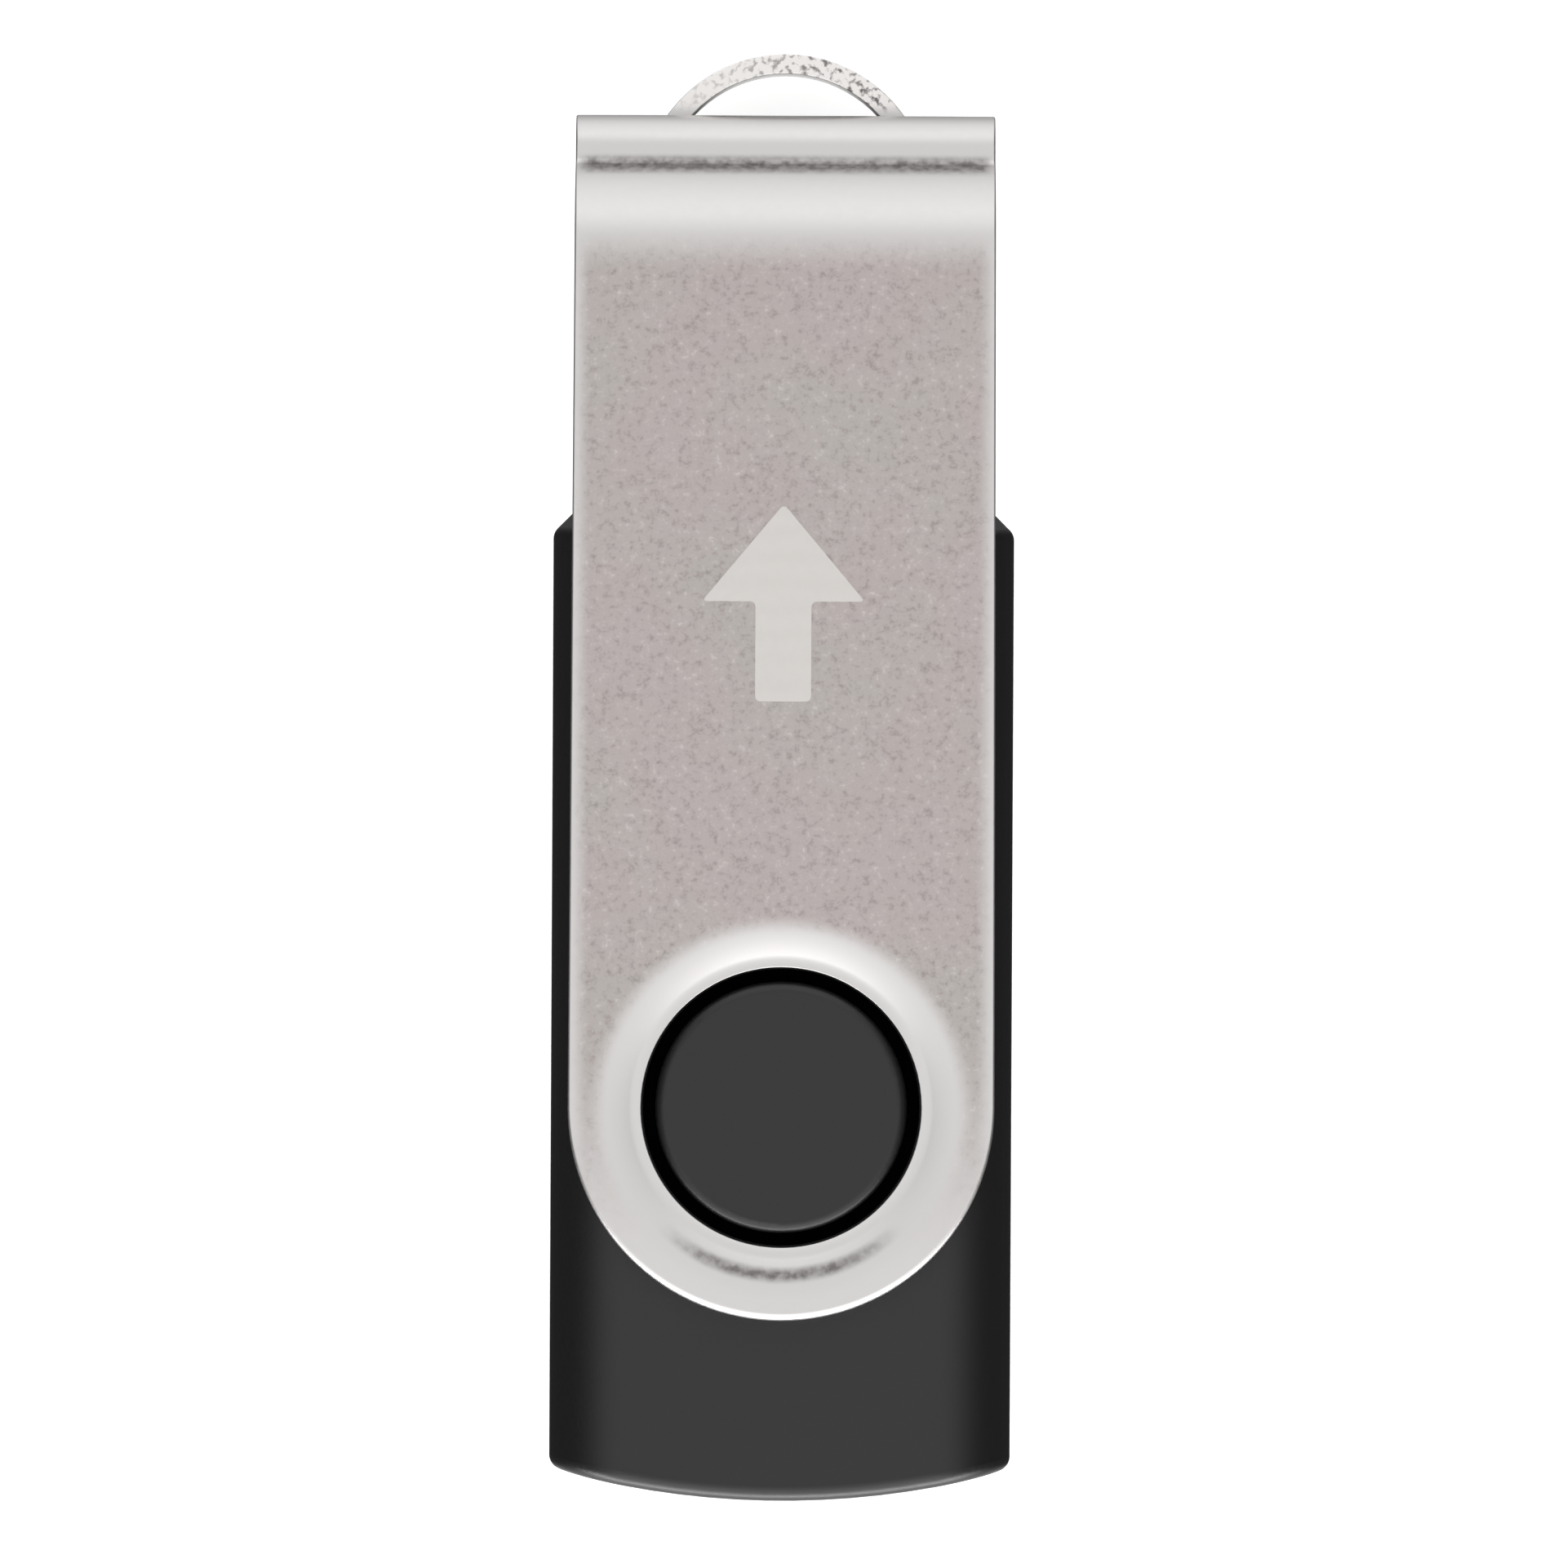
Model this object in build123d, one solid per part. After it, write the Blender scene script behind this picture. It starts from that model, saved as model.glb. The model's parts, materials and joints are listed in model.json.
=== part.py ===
from build123d import *
import os
from math import acos, asin, atan2, cos, degrees, hypot, sin, sqrt, tan

# Swivel USB flash drive, lying on its back. Millimetres.
#
# Row frame: the origin is the centre of the whole object's footprint, +Y points to the plug and the
# key loop, and +Z comes out of the front face.
# Each piece is drawn about the pivot instead, where X and Y are 0 on the pivot axis and Z is 0 on the
# parting plane of the housing. The last lines move every piece to the row frame.

# ---- Housing: two moulded half shells ------------------------------------------------------------
BODY_WIDTH = 19.0
BODY_THICKNESS = 8.4
BODY_NOSE = 25.0  # pivot axis to the nose face
BODY_TAIL = 16.2  # pivot axis to the crown of the arched tail
TAIL_ARC = 35.0  # radius of the tail, seen from the front
NOSE_CUT = 1.4  # 45 degree bevel all round the nose
NOSE_BLEND = 0.6  # radius where the bevel meets the sides
NOSE_ROUND = 0.3  # radius where it meets the nose face
SIDE_ROUND = 3.2  # long edges
END_ROUND = 0.6  # edges and corners of the tail
WALL = 1.3
NOSE_WALL = 2.2
CAVITY_CORNER = 0.8
PARTING_BEVEL = 0.12
LIP_DEPTH = 0.8
LIP_WIDTH = 0.55
FIT = 0.05  # between moulded parts that close on each other
BEAD_RADIUS = 0.25  # snap beads along the lip
BEAD_LENGTH = 4.0
BEAD_FROM_TAIL = 7.2  # a bead's middle from the crown of the tail
BEAD_FROM_NOSE = 12.0

# ---- Clip: a strip of sheet steel bent round the housing ------------------------------------------
SHEET = 0.8
PLATE_RADIUS = 8.75  # round end about the pivot, and half the clip's width there
NECK_WIDTH = 17.25
TIP_ROOM = 3.0  # from the plug's tip to the inside of the clip's end
SHOULDER_RADIUS = 3.3  # bends are given at the middle of the sheet
NECK_RADIUS = 0.75
NECK_STEP = 2.25  # how far the neck lies below the plate
NECK_FLAT = 0.47  # level stretch of the neck
END_RADIUS = 0.9
EDGE_ROUND = 0.25
HOLE_RADIUS = 5.75
DISH_WIDTH = 2.1  # from the hole to where the plate starts to curl down
DISH_DEPTH = 0.36  # of the middle of the sheet, at the hole
RING_CLEARANCE = 0.09  # from the dish at the hole to the housing's face
LOOP_RISE = 2.55
LOOP_SPAN = 9.8  # outside the feet
LOOP_WIDTH = 3.0

# ---- Pivot bosses, moulded on the housing ---------------------------------------------------------
JOURNAL_CLEARANCE = 0.07
JOURNAL_BEARING = 0.4  # how far the journal reaches into the hole
BUTTON_GAP = 0.6  # from the button to the edge of the hole
BUTTON_BELOW_PLATE = 0.1
BUTTON_ROUND = 0.4
BOSS_SKIN = 1.3  # left round and over the coring behind the button

# ---- USB-A plug ---------------------------------------------------------------------------------
PLUG_WIDTH = 12.0
PLUG_THICKNESS = 4.5
PLUG_REACH = 12.0  # outside the nose
PLUG_DEPTH = 6.6  # inside the nose
PLUG_SHEET = 0.3
PLUG_CORNER = 0.6
PLUG_LEAD_IN = 0.12
PLUG_CLEARANCE = 0.06  # to the housing's opening
SEAM = 0.06
WINDOW_WIDTH = 2.5
WINDOW_LENGTH = 2.0
WINDOW_SPREAD = 3.5  # from the middle to a window's centre
WINDOW_FRONT = 5.16  # from the shell's front edge
TONGUE_SETBACK = 0.4
TONGUE_SIDE_GAP = 0.05
TONGUE_BLOCK = 4.8  # length of the full-height rear block
CONTACT_WIDTH = 1.0
CONTACT_THICKNESS = 0.2
CONTACT_GAP = 0.02
CONTACT_BEND = 0.3
POWER_SETBACK = 1.3  # outer contacts, from the shell's front edge
DATA_SETBACK = 2.3  # inner contacts
CONTACT_PLACES = {"vbus": 3.5, "data_minus": 1.0, "data_plus": -1.0, "ground": -3.5}
FOOT_LENGTH = 1.5  # end of a contact that lies on the board
STEP_SETBACK = 0.3  # from the plug's rear to the step down to the board
TAB_LENGTH = 2.0  # solder tabs of the shell, along Y
TAB_SETBACK = 0.4  # from the board's front edge
TAB_HEIGHT = 1.2  # top of the arms that carry them, above the plug's middle
TAB_BELOW_BOARD = 0.4
SADDLE_WIDTH = 8.0  # ribs that back the plug inside the housing
SADDLE_LENGTH = 1.2
SADDLE_SETBACK = 1.4  # from the plug's rear to the ribs' middle

# ---- Circuit board --------------------------------------------------------------------------------
BOARD_SIDE_GAP = 0.9  # to the side walls
BOARD_REAR_GAP = 2.2  # to the crown of the tail wall
BOARD_THICKNESS = 0.8
BOARD_TOP = -0.55  # below the parting plane
BOARD_CORNER = 0.5
BOARD_GAP = 0.1  # to the plug's rear
SLOT_CLEARANCE = 0.1
PEG_RADIUS = 0.6
PEG_SETBACK = 2.7  # from the board's rear edge
LEDGE_OVERLAP = 0.7  # how far ledges and ribs reach under and over the board
LEDGE_LENGTH = 2.4
LEDGE_SETBACK = 4.8  # front ledges, from the board's front edge

# ---- Packages on the board: places are X, and the distance behind the board's front edge -----------
MEMORY_BODY = (12.0, 18.4, 1.0)
MEMORY_PLACE = (0.0, 20.3)
CONTROLLER_BODY = (7.0, 7.0, 1.4)
CONTROLLER_PLACE = (0.0, 10.3)
STANDOFF = 0.1
LEAD_REACH = 0.8
LEAD_FOOT = 0.5
LEAD_SHOULDER = 0.2
LEAD_BEND = 0.08
LEAD_WIDTH = 0.22
LEAD_THICKNESS = 0.13
LEAD_PITCH = 0.5
MEMORY_LEADS = 24  # on each short side
CONTROLLER_LEADS = 12  # on each of four sides
CRYSTAL_SIZE = (5.0, 3.2)
CRYSTAL_PLACE = (-1.5, 18.8)
CRYSTAL_BASE_HEIGHT = 0.7
CRYSTAL_LID_HEIGHT = 0.35
CRYSTAL_LID_MARGIN = 0.25
PIN_MARK_RADIUS = 0.4  # dimple beside a chip's first lead
PIN_MARK_DEPTH = 0.1
PIN_MARK_INSET = 1.2
CHIP_LENGTH = 1.6
CHIP_WIDTH = 0.8
CHIP_TERMINAL = 0.3
CAPACITOR_HEIGHT = 0.8
RESISTOR_HEIGHT = 0.45
CAPACITOR_PLACES = (
    (-5.6, 7.7), (-5.6, 10.1), (-5.6, 12.5), (5.6, 7.7), (5.6, 12.5), (-4.2, 22.7), (4.4, 26.7),
)
RESISTOR_PLACES = ((3.4, 19.5), (3.4, 17.7), (-1.6, 3.9), (1.6, 3.9), (0.6, 27.1))
LED_SIZE = (2.0, 1.25)
LED_PLACE = (-2.6, 27.1)
LED_BASE_HEIGHT = 0.35
LED_LENS_HEIGHT = 0.45
LED_LENS_MARGIN = 0.3
SOLDER_MARGIN = 0.25
SOLDER_HEIGHT = 0.22

# ---- Sizes that follow from the ones above ----------------------------------------------------------
CLIP_GAP = DISH_DEPTH + RING_CLEARANCE  # the dish holds the plate this far off the housing
FACE = BODY_THICKNESS / 2  # height of the housing's front face
PLATE_OUTSIDE = FACE + CLIP_GAP + SHEET
DISH_RADIUS = HOLE_RADIUS + DISH_WIDTH
BUTTON_RADIUS = HOLE_RADIUS - BUTTON_GAP
CAVITY_TOP = FACE - WALL
CAVITY_SIDE = BODY_WIDTH / 2 - WALL
CAVITY_NOSE = BODY_NOSE - NOSE_WALL
PLUG_TIP = BODY_NOSE + PLUG_REACH
PLUG_REAR = BODY_NOSE - PLUG_DEPTH
PLUG_INSIDE = PLUG_THICKNESS / 2 - PLUG_SHEET
CLIP_REACH = PLUG_TIP + TIP_ROOM + SHEET
BOARD_WIDTH = 2 * (CAVITY_SIDE - BOARD_SIDE_GAP)
BOARD_BOTTOM = BOARD_TOP - BOARD_THICKNESS
BOARD_FRONT = PLUG_REAR - BOARD_GAP
BOARD_REAR = WALL + BOARD_REAR_GAP - BODY_TAIL
BOARD_MIDDLE = (BOARD_FRONT + BOARD_REAR) / 2
PEG_PLACE = BOARD_REAR + PEG_SETBACK
TAB_MIDDLE = BOARD_FRONT - TAB_SETBACK - TAB_LENGTH / 2
OVERALL_LENGTH = BODY_TAIL + CLIP_REACH + LOOP_RISE
PIVOT_PLACE = (0, BODY_TAIL - OVERALL_LENGTH / 2, PLATE_OUTSIDE)


# ---- Small shared shapes ----------------------------------------------------------------------------
def slab(width, length, low, high, x=0.0, y=0.0):
    """Box of a width and length about x, y, from one height to another."""
    return Pos(x, y, (low + high) / 2) * Box(width, length, abs(high - low))


def disc(radius, low, high, x=0.0, y=0.0):
    """Upright cylinder from one height to another."""
    return Pos(x, y, (low + high) / 2) * Cylinder(radius, abs(high - low))


def from_side(face, width, x=0.0):
    """Extrudes a face drawn in the side view, where its own x is Y and its own y is Z, across X."""
    return extrude(Plane.YZ.offset(x) * face, width / 2, both=True)


def along_y(face, start, end):
    """Extrudes a face drawn in the end view, where its own x is X and its own y is Z, along Y."""
    return extrude(Plane.XZ.offset(-start) * face, start - end)


# ---- Housing ----------------------------------------------------------------------------------------
def arched_outline(side, nose, crown, arc):
    """Front view of a shape with a square nose, straight sides and an arched tail."""
    corner = crown + arc - sqrt(arc**2 - side**2)
    walls = Polyline((side, corner), (side, nose), (-side, nose), (-side, corner))
    tail = ThreePointArc((-side, corner), (0, crown), (side, corner))
    return make_face([walls, tail])


def rounded_bar(side, top, corner, length):
    """Bar along Y with rounded long edges."""
    return extrude(Plane.XZ * RectangleRounded(2 * side, 2 * top, corner), length, both=True)


def housing_blank():
    """Outer shape of the closed housing."""
    bar = rounded_bar(BODY_WIDTH / 2, FACE, SIDE_ROUND, BODY_NOSE + BODY_TAIL)
    outline = arched_outline(BODY_WIDTH, BODY_NOSE, -BODY_TAIL, TAIL_ARC)
    blank = bar & extrude(outline, BODY_THICKNESS, both=True)
    blank = chamfer(blank.faces().sort_by(Axis.Y)[-1].edges(), NOSE_CUT)
    blank = fillet(blank.edges().filter_by(Plane.XZ).group_by(Axis.Y)[-2], NOSE_BLEND)
    blank = fillet(blank.faces().sort_by(Axis.Y)[-1].edges(), NOSE_ROUND)
    return fillet(blank.faces().sort_by(Axis.Y)[0].edges(), END_ROUND)


def cavity_outline(grow=0.0):
    """Front view of the hollow, or of the outside of the lip round it."""
    outline = arched_outline(
        CAVITY_SIDE + grow, CAVITY_NOSE + grow, WALL - BODY_TAIL - grow, TAIL_ARC - WALL + grow
    )
    return fillet(outline.vertices(), CAVITY_CORNER + grow)


def lip(depth, width):
    """Rim below the parting plane, just outside the hollow."""
    return extrude(cavity_outline(width) - cavity_outline(), -depth)


def snap_beads(radius):
    """Round beads along the outside of the lip, or the grooves that take them."""
    bead = Rot(90, 0, 0) * Cylinder(radius, BEAD_LENGTH)
    x = CAVITY_SIDE + LIP_WIDTH
    ends = (BEAD_FROM_TAIL - BODY_TAIL, BODY_NOSE - BEAD_FROM_NOSE)
    return [Pos(side * x, y, -LIP_DEPTH / 2) * bead for side in (-1, 1) for y in ends]


def edge_supports(low, high):
    """Blocks at both side walls that reach under or over the board's edges."""
    inner = BOARD_WIDTH / 2 - LEDGE_OVERLAP
    outer = BODY_WIDTH / 2
    x = (inner + outer) / 2
    rows = (PEG_PLACE, BOARD_MIDDLE, BOARD_FRONT - LEDGE_SETBACK)
    return [slab(outer - inner, LEDGE_LENGTH, low, high, side * x, y) for side in (-1, 1) for y in rows]


def board_pegs(radius, low, high):
    """Pegs at both edges of the board, or the notches that they fill."""
    return [disc(radius, low, high, side * BOARD_WIDTH / 2, PEG_PLACE) for side in (-1, 1)]


def plug_saddle(side):
    """Rib across a shell that backs the plug."""
    near = side * (PLUG_THICKNESS / 2 + PLUG_CLEARANCE)
    return slab(SADDLE_WIDTH, SADDLE_LENGTH, near, side * FACE, 0, PLUG_REAR + SADDLE_SETBACK)


def open_shell(side):
    """Front (1) or rear (-1) shell with its pivot boss, before lips and supports."""
    shell = housing_blank() & slab(2 * BODY_WIDTH, 3 * BODY_NOSE, 0, side * BODY_THICKNESS)
    shell = chamfer(shell.faces().sort_by(Axis.Z, reverse=side < 0)[0].edges(), PARTING_BEVEL)
    root = side * (FACE - WALL / 2)
    button_top = side * (PLATE_OUTSIDE - BUTTON_BELOW_PLATE)
    button = disc(BUTTON_RADIUS, root, button_top)
    shell += fillet(button.edges().sort_by(Axis.Z, reverse=side < 0)[-1], BUTTON_ROUND)
    journal_top = side * (FACE + RING_CLEARANCE + JOURNAL_BEARING)
    shell += disc(HOLE_RADIUS - JOURNAL_CLEARANCE, root, journal_top)
    return shell - cavity() - disc(BUTTON_RADIUS - BOSS_SKIN, 0, button_top - side * BOSS_SKIN)


def cavity():
    """The hollow in the closed housing."""
    hollow = extrude(cavity_outline(), BODY_THICKNESS, both=True)
    return hollow & rounded_bar(CAVITY_SIDE, CAVITY_TOP, SIDE_ROUND - WALL, BODY_NOSE + BODY_TAIL)


def plug_mouth():
    """Space for the plug, through the nose of both shells."""
    mouth = RectangleRounded(
        PLUG_WIDTH + 2 * PLUG_CLEARANCE, PLUG_THICKNESS + 2 * PLUG_CLEARANCE, PLUG_CORNER + PLUG_CLEARANCE
    )
    return along_y(mouth, PLUG_REAR, PLUG_TIP)


def front_housing():
    """Front shell, with the snap lip and the ribs that hold the board down."""
    supports = Part() + edge_supports(BOARD_TOP + FIT, FACE) + plug_saddle(1)
    shell = open_shell(1) + (supports & cavity())
    shell += lip(LIP_DEPTH, LIP_WIDTH)
    shell += snap_beads(BEAD_RADIUS)
    return shell - plug_mouth()


def rear_housing():
    """Rear shell, with the rebate for the lip, the board's ledges and the pegs that locate it."""
    supports = Part() + edge_supports(-FACE, BOARD_BOTTOM) + plug_saddle(-1)
    supports += board_pegs(PEG_RADIUS, -FACE, BOARD_TOP)
    shell = open_shell(-1) + (supports & cavity())
    shell -= lip(LIP_DEPTH + FIT, LIP_WIDTH + FIT)
    shell -= snap_beads(BEAD_RADIUS + FIT)
    return shell - plug_mouth()


# ---- Clip -------------------------------------------------------------------------------------------
def clip_outline():
    """Front view: round about the pivot, then tapering on tangents to the neck's width."""
    lean = asin(PLATE_RADIUS / hypot(CLIP_REACH, NECK_WIDTH / 2)) - atan2(NECK_WIDTH / 2, CLIP_REACH)
    x = PLATE_RADIUS * cos(lean)
    y = PLATE_RADIUS * sin(lean)
    far_x = NECK_WIDTH / 2 - SHEET * tan(lean)
    sides = Polyline((x, y), (far_x, CLIP_REACH + SHEET), (-far_x, CLIP_REACH + SHEET), (-x, y))
    return make_face([sides, ThreePointArc((-x, y), (0, -PLATE_RADIUS), (x, y))])


def bent_strip():
    """Front half of the strip: plate, shoulder, neck and half of the end, as wide as the housing."""
    middle = PLATE_OUTSIDE - SHEET / 2
    turn = acos(1 - NECK_STEP / (SHOULDER_RADIUS + NECK_RADIUS))
    end_bend = CLIP_REACH - SHEET / 2 - END_RADIUS
    shoulder_start = end_bend - NECK_FLAT - (SHOULDER_RADIUS + NECK_RADIUS) * sin(turn)
    plate = Line((-PLATE_RADIUS - SHEET, middle), (shoulder_start, middle))
    shoulder = JernArc(plate @ 1, plate % 1, SHOULDER_RADIUS, -degrees(turn))
    neck = JernArc(shoulder @ 1, shoulder % 1, NECK_RADIUS, degrees(turn))
    run = Line(neck @ 1, (end_bend, middle - NECK_STEP))
    bend = JernArc(run @ 1, run % 1, END_RADIUS, -90)
    end = Line(bend @ 1, (CLIP_REACH - SHEET / 2, 0))
    return from_side(trace([plate, shoulder, neck, run, bend, end], SHEET), BODY_WIDTH)


def dish():
    """Ring round the hole that curls down until it all but touches the housing."""
    middle = PLATE_OUTSIDE - SHEET / 2
    radius = (DISH_WIDTH**2 + DISH_DEPTH**2) / (2 * DISH_DEPTH)
    turn = degrees(2 * atan2(DISH_DEPTH, DISH_WIDTH))
    curl = JernArc((DISH_RADIUS, middle), (-1, 0), radius, turn)
    past_hole = Line(curl @ 1, curl @ 1 + SHEET * (curl % 1))
    ring = revolve(Plane.XZ * trace([curl, past_hole], SHEET), Axis.Z)
    return ring - disc(HOLE_RADIUS, 0, 2 * PLATE_OUTSIDE)


def swivel_clip():
    """Steel clip: two plates joined by an end wall, with a loop pressed out of the end for a key ring."""
    half = bent_strip() & extrude(clip_outline(), 2 * PLATE_OUTSIDE)
    sides = half.faces().filter_by(lambda face: abs(face.normal_at().X) > cos(0.1))
    rims = [e for e in sides.edges() if e.center().Y > SHEET and e.bounding_box().max.Z > SHEET / 2]
    half = fillet(rims, EDGE_ROUND)
    half = half - disc(DISH_RADIUS, 0, 2 * PLATE_OUTSIDE) + dish()
    clip = half + mirror(half, Plane.XY)
    loop_radius = ((LOOP_SPAN / 2) ** 2 + LOOP_RISE**2) / (2 * LOOP_RISE)
    loop_centre = CLIP_REACH + LOOP_RISE - loop_radius
    room = disc(loop_radius - SHEET, -LOOP_WIDTH / 2, LOOP_WIDTH / 2, 0, loop_centre)
    loop = disc(loop_radius, -LOOP_WIDTH / 2, LOOP_WIDTH / 2, 0, loop_centre) - room
    loop &= slab(BODY_WIDTH, 2 * (SHEET + LOOP_RISE), -LOOP_WIDTH, LOOP_WIDTH, 0, CLIP_REACH + LOOP_RISE)
    return clip - room + loop


# ---- Plug -------------------------------------------------------------------------------------------
def shell_tabs(clearance=0.0):
    """The two solder tabs at the rear of the plug's shell, or the slots that they pass through."""
    x = (PLUG_WIDTH - PLUG_SHEET) / 2
    width = PLUG_SHEET + 2 * clearance
    length = TAB_LENGTH + 2 * clearance
    low = BOARD_BOTTOM - TAB_BELOW_BOARD
    return [slab(width, length, low, TAB_HEIGHT, side * x, TAB_MIDDLE) for side in (-1, 1)]


def plug_shell():
    """Steel shell with four latch windows, a closing seam and two solder tabs at the rear."""
    outside = RectangleRounded(PLUG_WIDTH, PLUG_THICKNESS, PLUG_CORNER)
    inside = RectangleRounded(
        PLUG_WIDTH - 2 * PLUG_SHEET, PLUG_THICKNESS - 2 * PLUG_SHEET, PLUG_CORNER - PLUG_SHEET
    )
    shell = along_y(outside, PLUG_REAR, PLUG_TIP)
    shell = chamfer(shell.faces().sort_by(Axis.Y)[-1].edges(), PLUG_LEAD_IN)
    shell -= along_y(inside, PLUG_REAR, PLUG_TIP)
    window_y = PLUG_TIP - WINDOW_FRONT - WINDOW_LENGTH / 2
    for x in (-WINDOW_SPREAD, WINDOW_SPREAD):
        shell -= slab(WINDOW_WIDTH, WINDOW_LENGTH, -PLUG_THICKNESS, PLUG_THICKNESS, x, window_y)
    shell -= slab(SEAM, 2 * (PLUG_TIP - PLUG_REAR), -PLUG_THICKNESS, 0, 0, PLUG_TIP)
    arm = PLUG_REAR - TAB_MIDDLE + TAB_LENGTH / 2
    for side in (-1, 1):
        x = side * (PLUG_WIDTH - PLUG_SHEET) / 2
        shell += slab(PLUG_SHEET, arm, 0, TAB_HEIGHT, x, PLUG_REAR - arm / 2)
    return shell + shell_tabs()


def contact_path(name):
    """Middle of a contact's strip in the side view."""
    setback = POWER_SETBACK if name in ("vbus", "ground") else DATA_SETBACK
    high = -CONTACT_THICKNESS / 2
    low = BOARD_TOP + CONTACT_THICKNESS / 2
    step = PLUG_REAR - STEP_SETBACK
    foot = step - (high - low)
    return FilletPolyline(
        (PLUG_TIP - setback, high), (step, high), (foot, low), (foot - FOOT_LENGTH, low), radius=CONTACT_BEND
    )


def contact(name):
    """One flat contact: along the tongue, through the block and down to the board."""
    return from_side(trace(contact_path(name), CONTACT_THICKNESS), CONTACT_WIDTH, CONTACT_PLACES[name])


def plug_insulator():
    """Moulded block with the tongue that carries the contacts."""
    inside = RectangleRounded(
        PLUG_WIDTH - 2 * (PLUG_SHEET + TONGUE_SIDE_GAP), 2 * PLUG_INSIDE, PLUG_CORNER - PLUG_SHEET
    )
    tip = PLUG_TIP - TONGUE_SETBACK
    block = along_y(inside, PLUG_REAR, tip)
    block -= slab(PLUG_WIDTH, 2 * (tip - PLUG_REAR - TONGUE_BLOCK), 0, PLUG_THICKNESS, 0, tip)
    for name, x in CONTACT_PLACES.items():
        front = (contact_path(name) @ 0).X + CONTACT_GAP
        width = CONTACT_WIDTH + 2 * CONTACT_GAP
        groove = slab(width, front - PLUG_REAR, -CONTACT_THICKNESS, CONTACT_GAP, x, (front + PLUG_REAR) / 2)
        block -= groove
    return block


# ---- Circuit board ----------------------------------------------------------------------------------
def circuit_board():
    """Bare board with notches for the housing's pegs and slots for the plug's tabs."""
    blank = RectangleRounded(BOARD_WIDTH, BOARD_FRONT - BOARD_REAR, BOARD_CORNER)
    board = extrude(Pos(0, BOARD_MIDDLE, BOARD_BOTTOM) * blank, BOARD_THICKNESS)
    board -= board_pegs(PEG_RADIUS + FIT, -FACE, FACE)
    return board - shell_tabs(SLOT_CLEARANCE)


def contact_solder():
    """Solder round the four contact feet."""
    foot_end = contact_path("vbus") @ 1
    width = CONTACT_WIDTH + 2 * SOLDER_MARGIN
    length = FOOT_LENGTH + SOLDER_MARGIN
    y = foot_end.X - SOLDER_MARGIN + length / 2
    top = BOARD_TOP + SOLDER_HEIGHT
    pads = Part() + [slab(width, length, BOARD_TOP, top, x, y) for x in CONTACT_PLACES.values()]
    pads = chamfer(pads.faces().filter_by(Axis.Z).group_by(Axis.Z)[-1].edges(), SOLDER_HEIGHT / 2)
    return pads - [contact(name) for name in CONTACT_PLACES]


def tab_solder():
    """Solder round the shell's tabs, under the board."""
    x = (PLUG_WIDTH - PLUG_SHEET) / 2
    low = BOARD_BOTTOM - SOLDER_HEIGHT
    width = PLUG_SHEET + 2 * SOLDER_MARGIN
    length = TAB_LENGTH + 2 * SOLDER_MARGIN
    pads = Part() + [slab(width, length, low, BOARD_BOTTOM, side * x, TAB_MIDDLE) for side in (-1, 1)]
    pads = chamfer(pads.faces().filter_by(Axis.Z).group_by(Axis.Z)[0].edges(), SOLDER_HEIGHT / 2)
    return pads - shell_tabs()


# ---- Packages, each drawn standing on a board at height 0 -------------------------------------------
def on_top(x, setback):
    """Place on the board's upper side."""
    return Pos(x, BOARD_FRONT - setback, BOARD_TOP)


def underneath(x, setback):
    """Place on the board's lower side."""
    return Pos(x, BOARD_FRONT - setback, BOARD_BOTTOM) * Rot(0, 180, 0)


def chip_body(size):
    """Moulded package with a dimple beside its first lead."""
    width, length, height = size
    top = STANDOFF + height
    body = slab(width, length, STANDOFF, top)
    mark = (PIN_MARK_INSET - width / 2, length / 2 - PIN_MARK_INSET)
    return body - disc(PIN_MARK_RADIUS, top - PIN_MARK_DEPTH, top, *mark)


def lead_row(height, distance, count):
    """Row of gull-wing leads that leave a package in +Y, at a distance from its middle."""
    middle = STANDOFF + height / 2
    foot = LEAD_THICKNESS / 2
    path = FilletPolyline(
        (0, middle),
        (LEAD_SHOULDER, middle),
        (LEAD_REACH - LEAD_FOOT, foot),
        (LEAD_REACH, foot),
        radius=LEAD_BEND,
    )
    lead = from_side(trace(path, LEAD_THICKNESS), LEAD_WIDTH)
    first = -LEAD_PITCH * (count - 1) / 2
    return [Pos(first + LEAD_PITCH * i, distance, 0) * lead for i in range(count)]


def memory_leads():
    """Leads on both short sides."""
    row = lead_row(MEMORY_BODY[2], MEMORY_BODY[1] / 2, MEMORY_LEADS)
    return Part() + [Rot(0, 0, turn) * lead for turn in (0, 180) for lead in row]


def controller_leads():
    """Leads on all four sides."""
    row = lead_row(CONTROLLER_BODY[2], CONTROLLER_BODY[0] / 2, CONTROLLER_LEADS)
    return Part() + [Rot(0, 0, turn) * lead for turn in (0, 90, 180, 270) for lead in row]


def small_bodies(places, height, turn):
    """Middles of chip capacitors or resistors."""
    body = slab(CHIP_WIDTH, CHIP_LENGTH - 2 * CHIP_TERMINAL, 0, height)
    return Part() + [on_top(*place) * Rot(0, 0, turn) * body for place in places]


def small_terminals(places, height, turn):
    """Metal ends of chip capacitors or resistors."""
    y = (CHIP_LENGTH - CHIP_TERMINAL) / 2
    ends = [slab(CHIP_WIDTH, CHIP_TERMINAL, 0, height, 0, side * y) for side in (-1, 1)]
    return Part() + [on_top(*place) * Rot(0, 0, turn) * end for place in places for end in ends]


def crystal_lid():
    """Metal lid of the clock crystal."""
    width = CRYSTAL_SIZE[0] - 2 * CRYSTAL_LID_MARGIN
    length = CRYSTAL_SIZE[1] - 2 * CRYSTAL_LID_MARGIN
    lid = slab(width, length, CRYSTAL_BASE_HEIGHT, CRYSTAL_BASE_HEIGHT + CRYSTAL_LID_HEIGHT)
    return fillet(lid.edges().filter_by(Axis.Z), 2 * CRYSTAL_LID_MARGIN)


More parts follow.
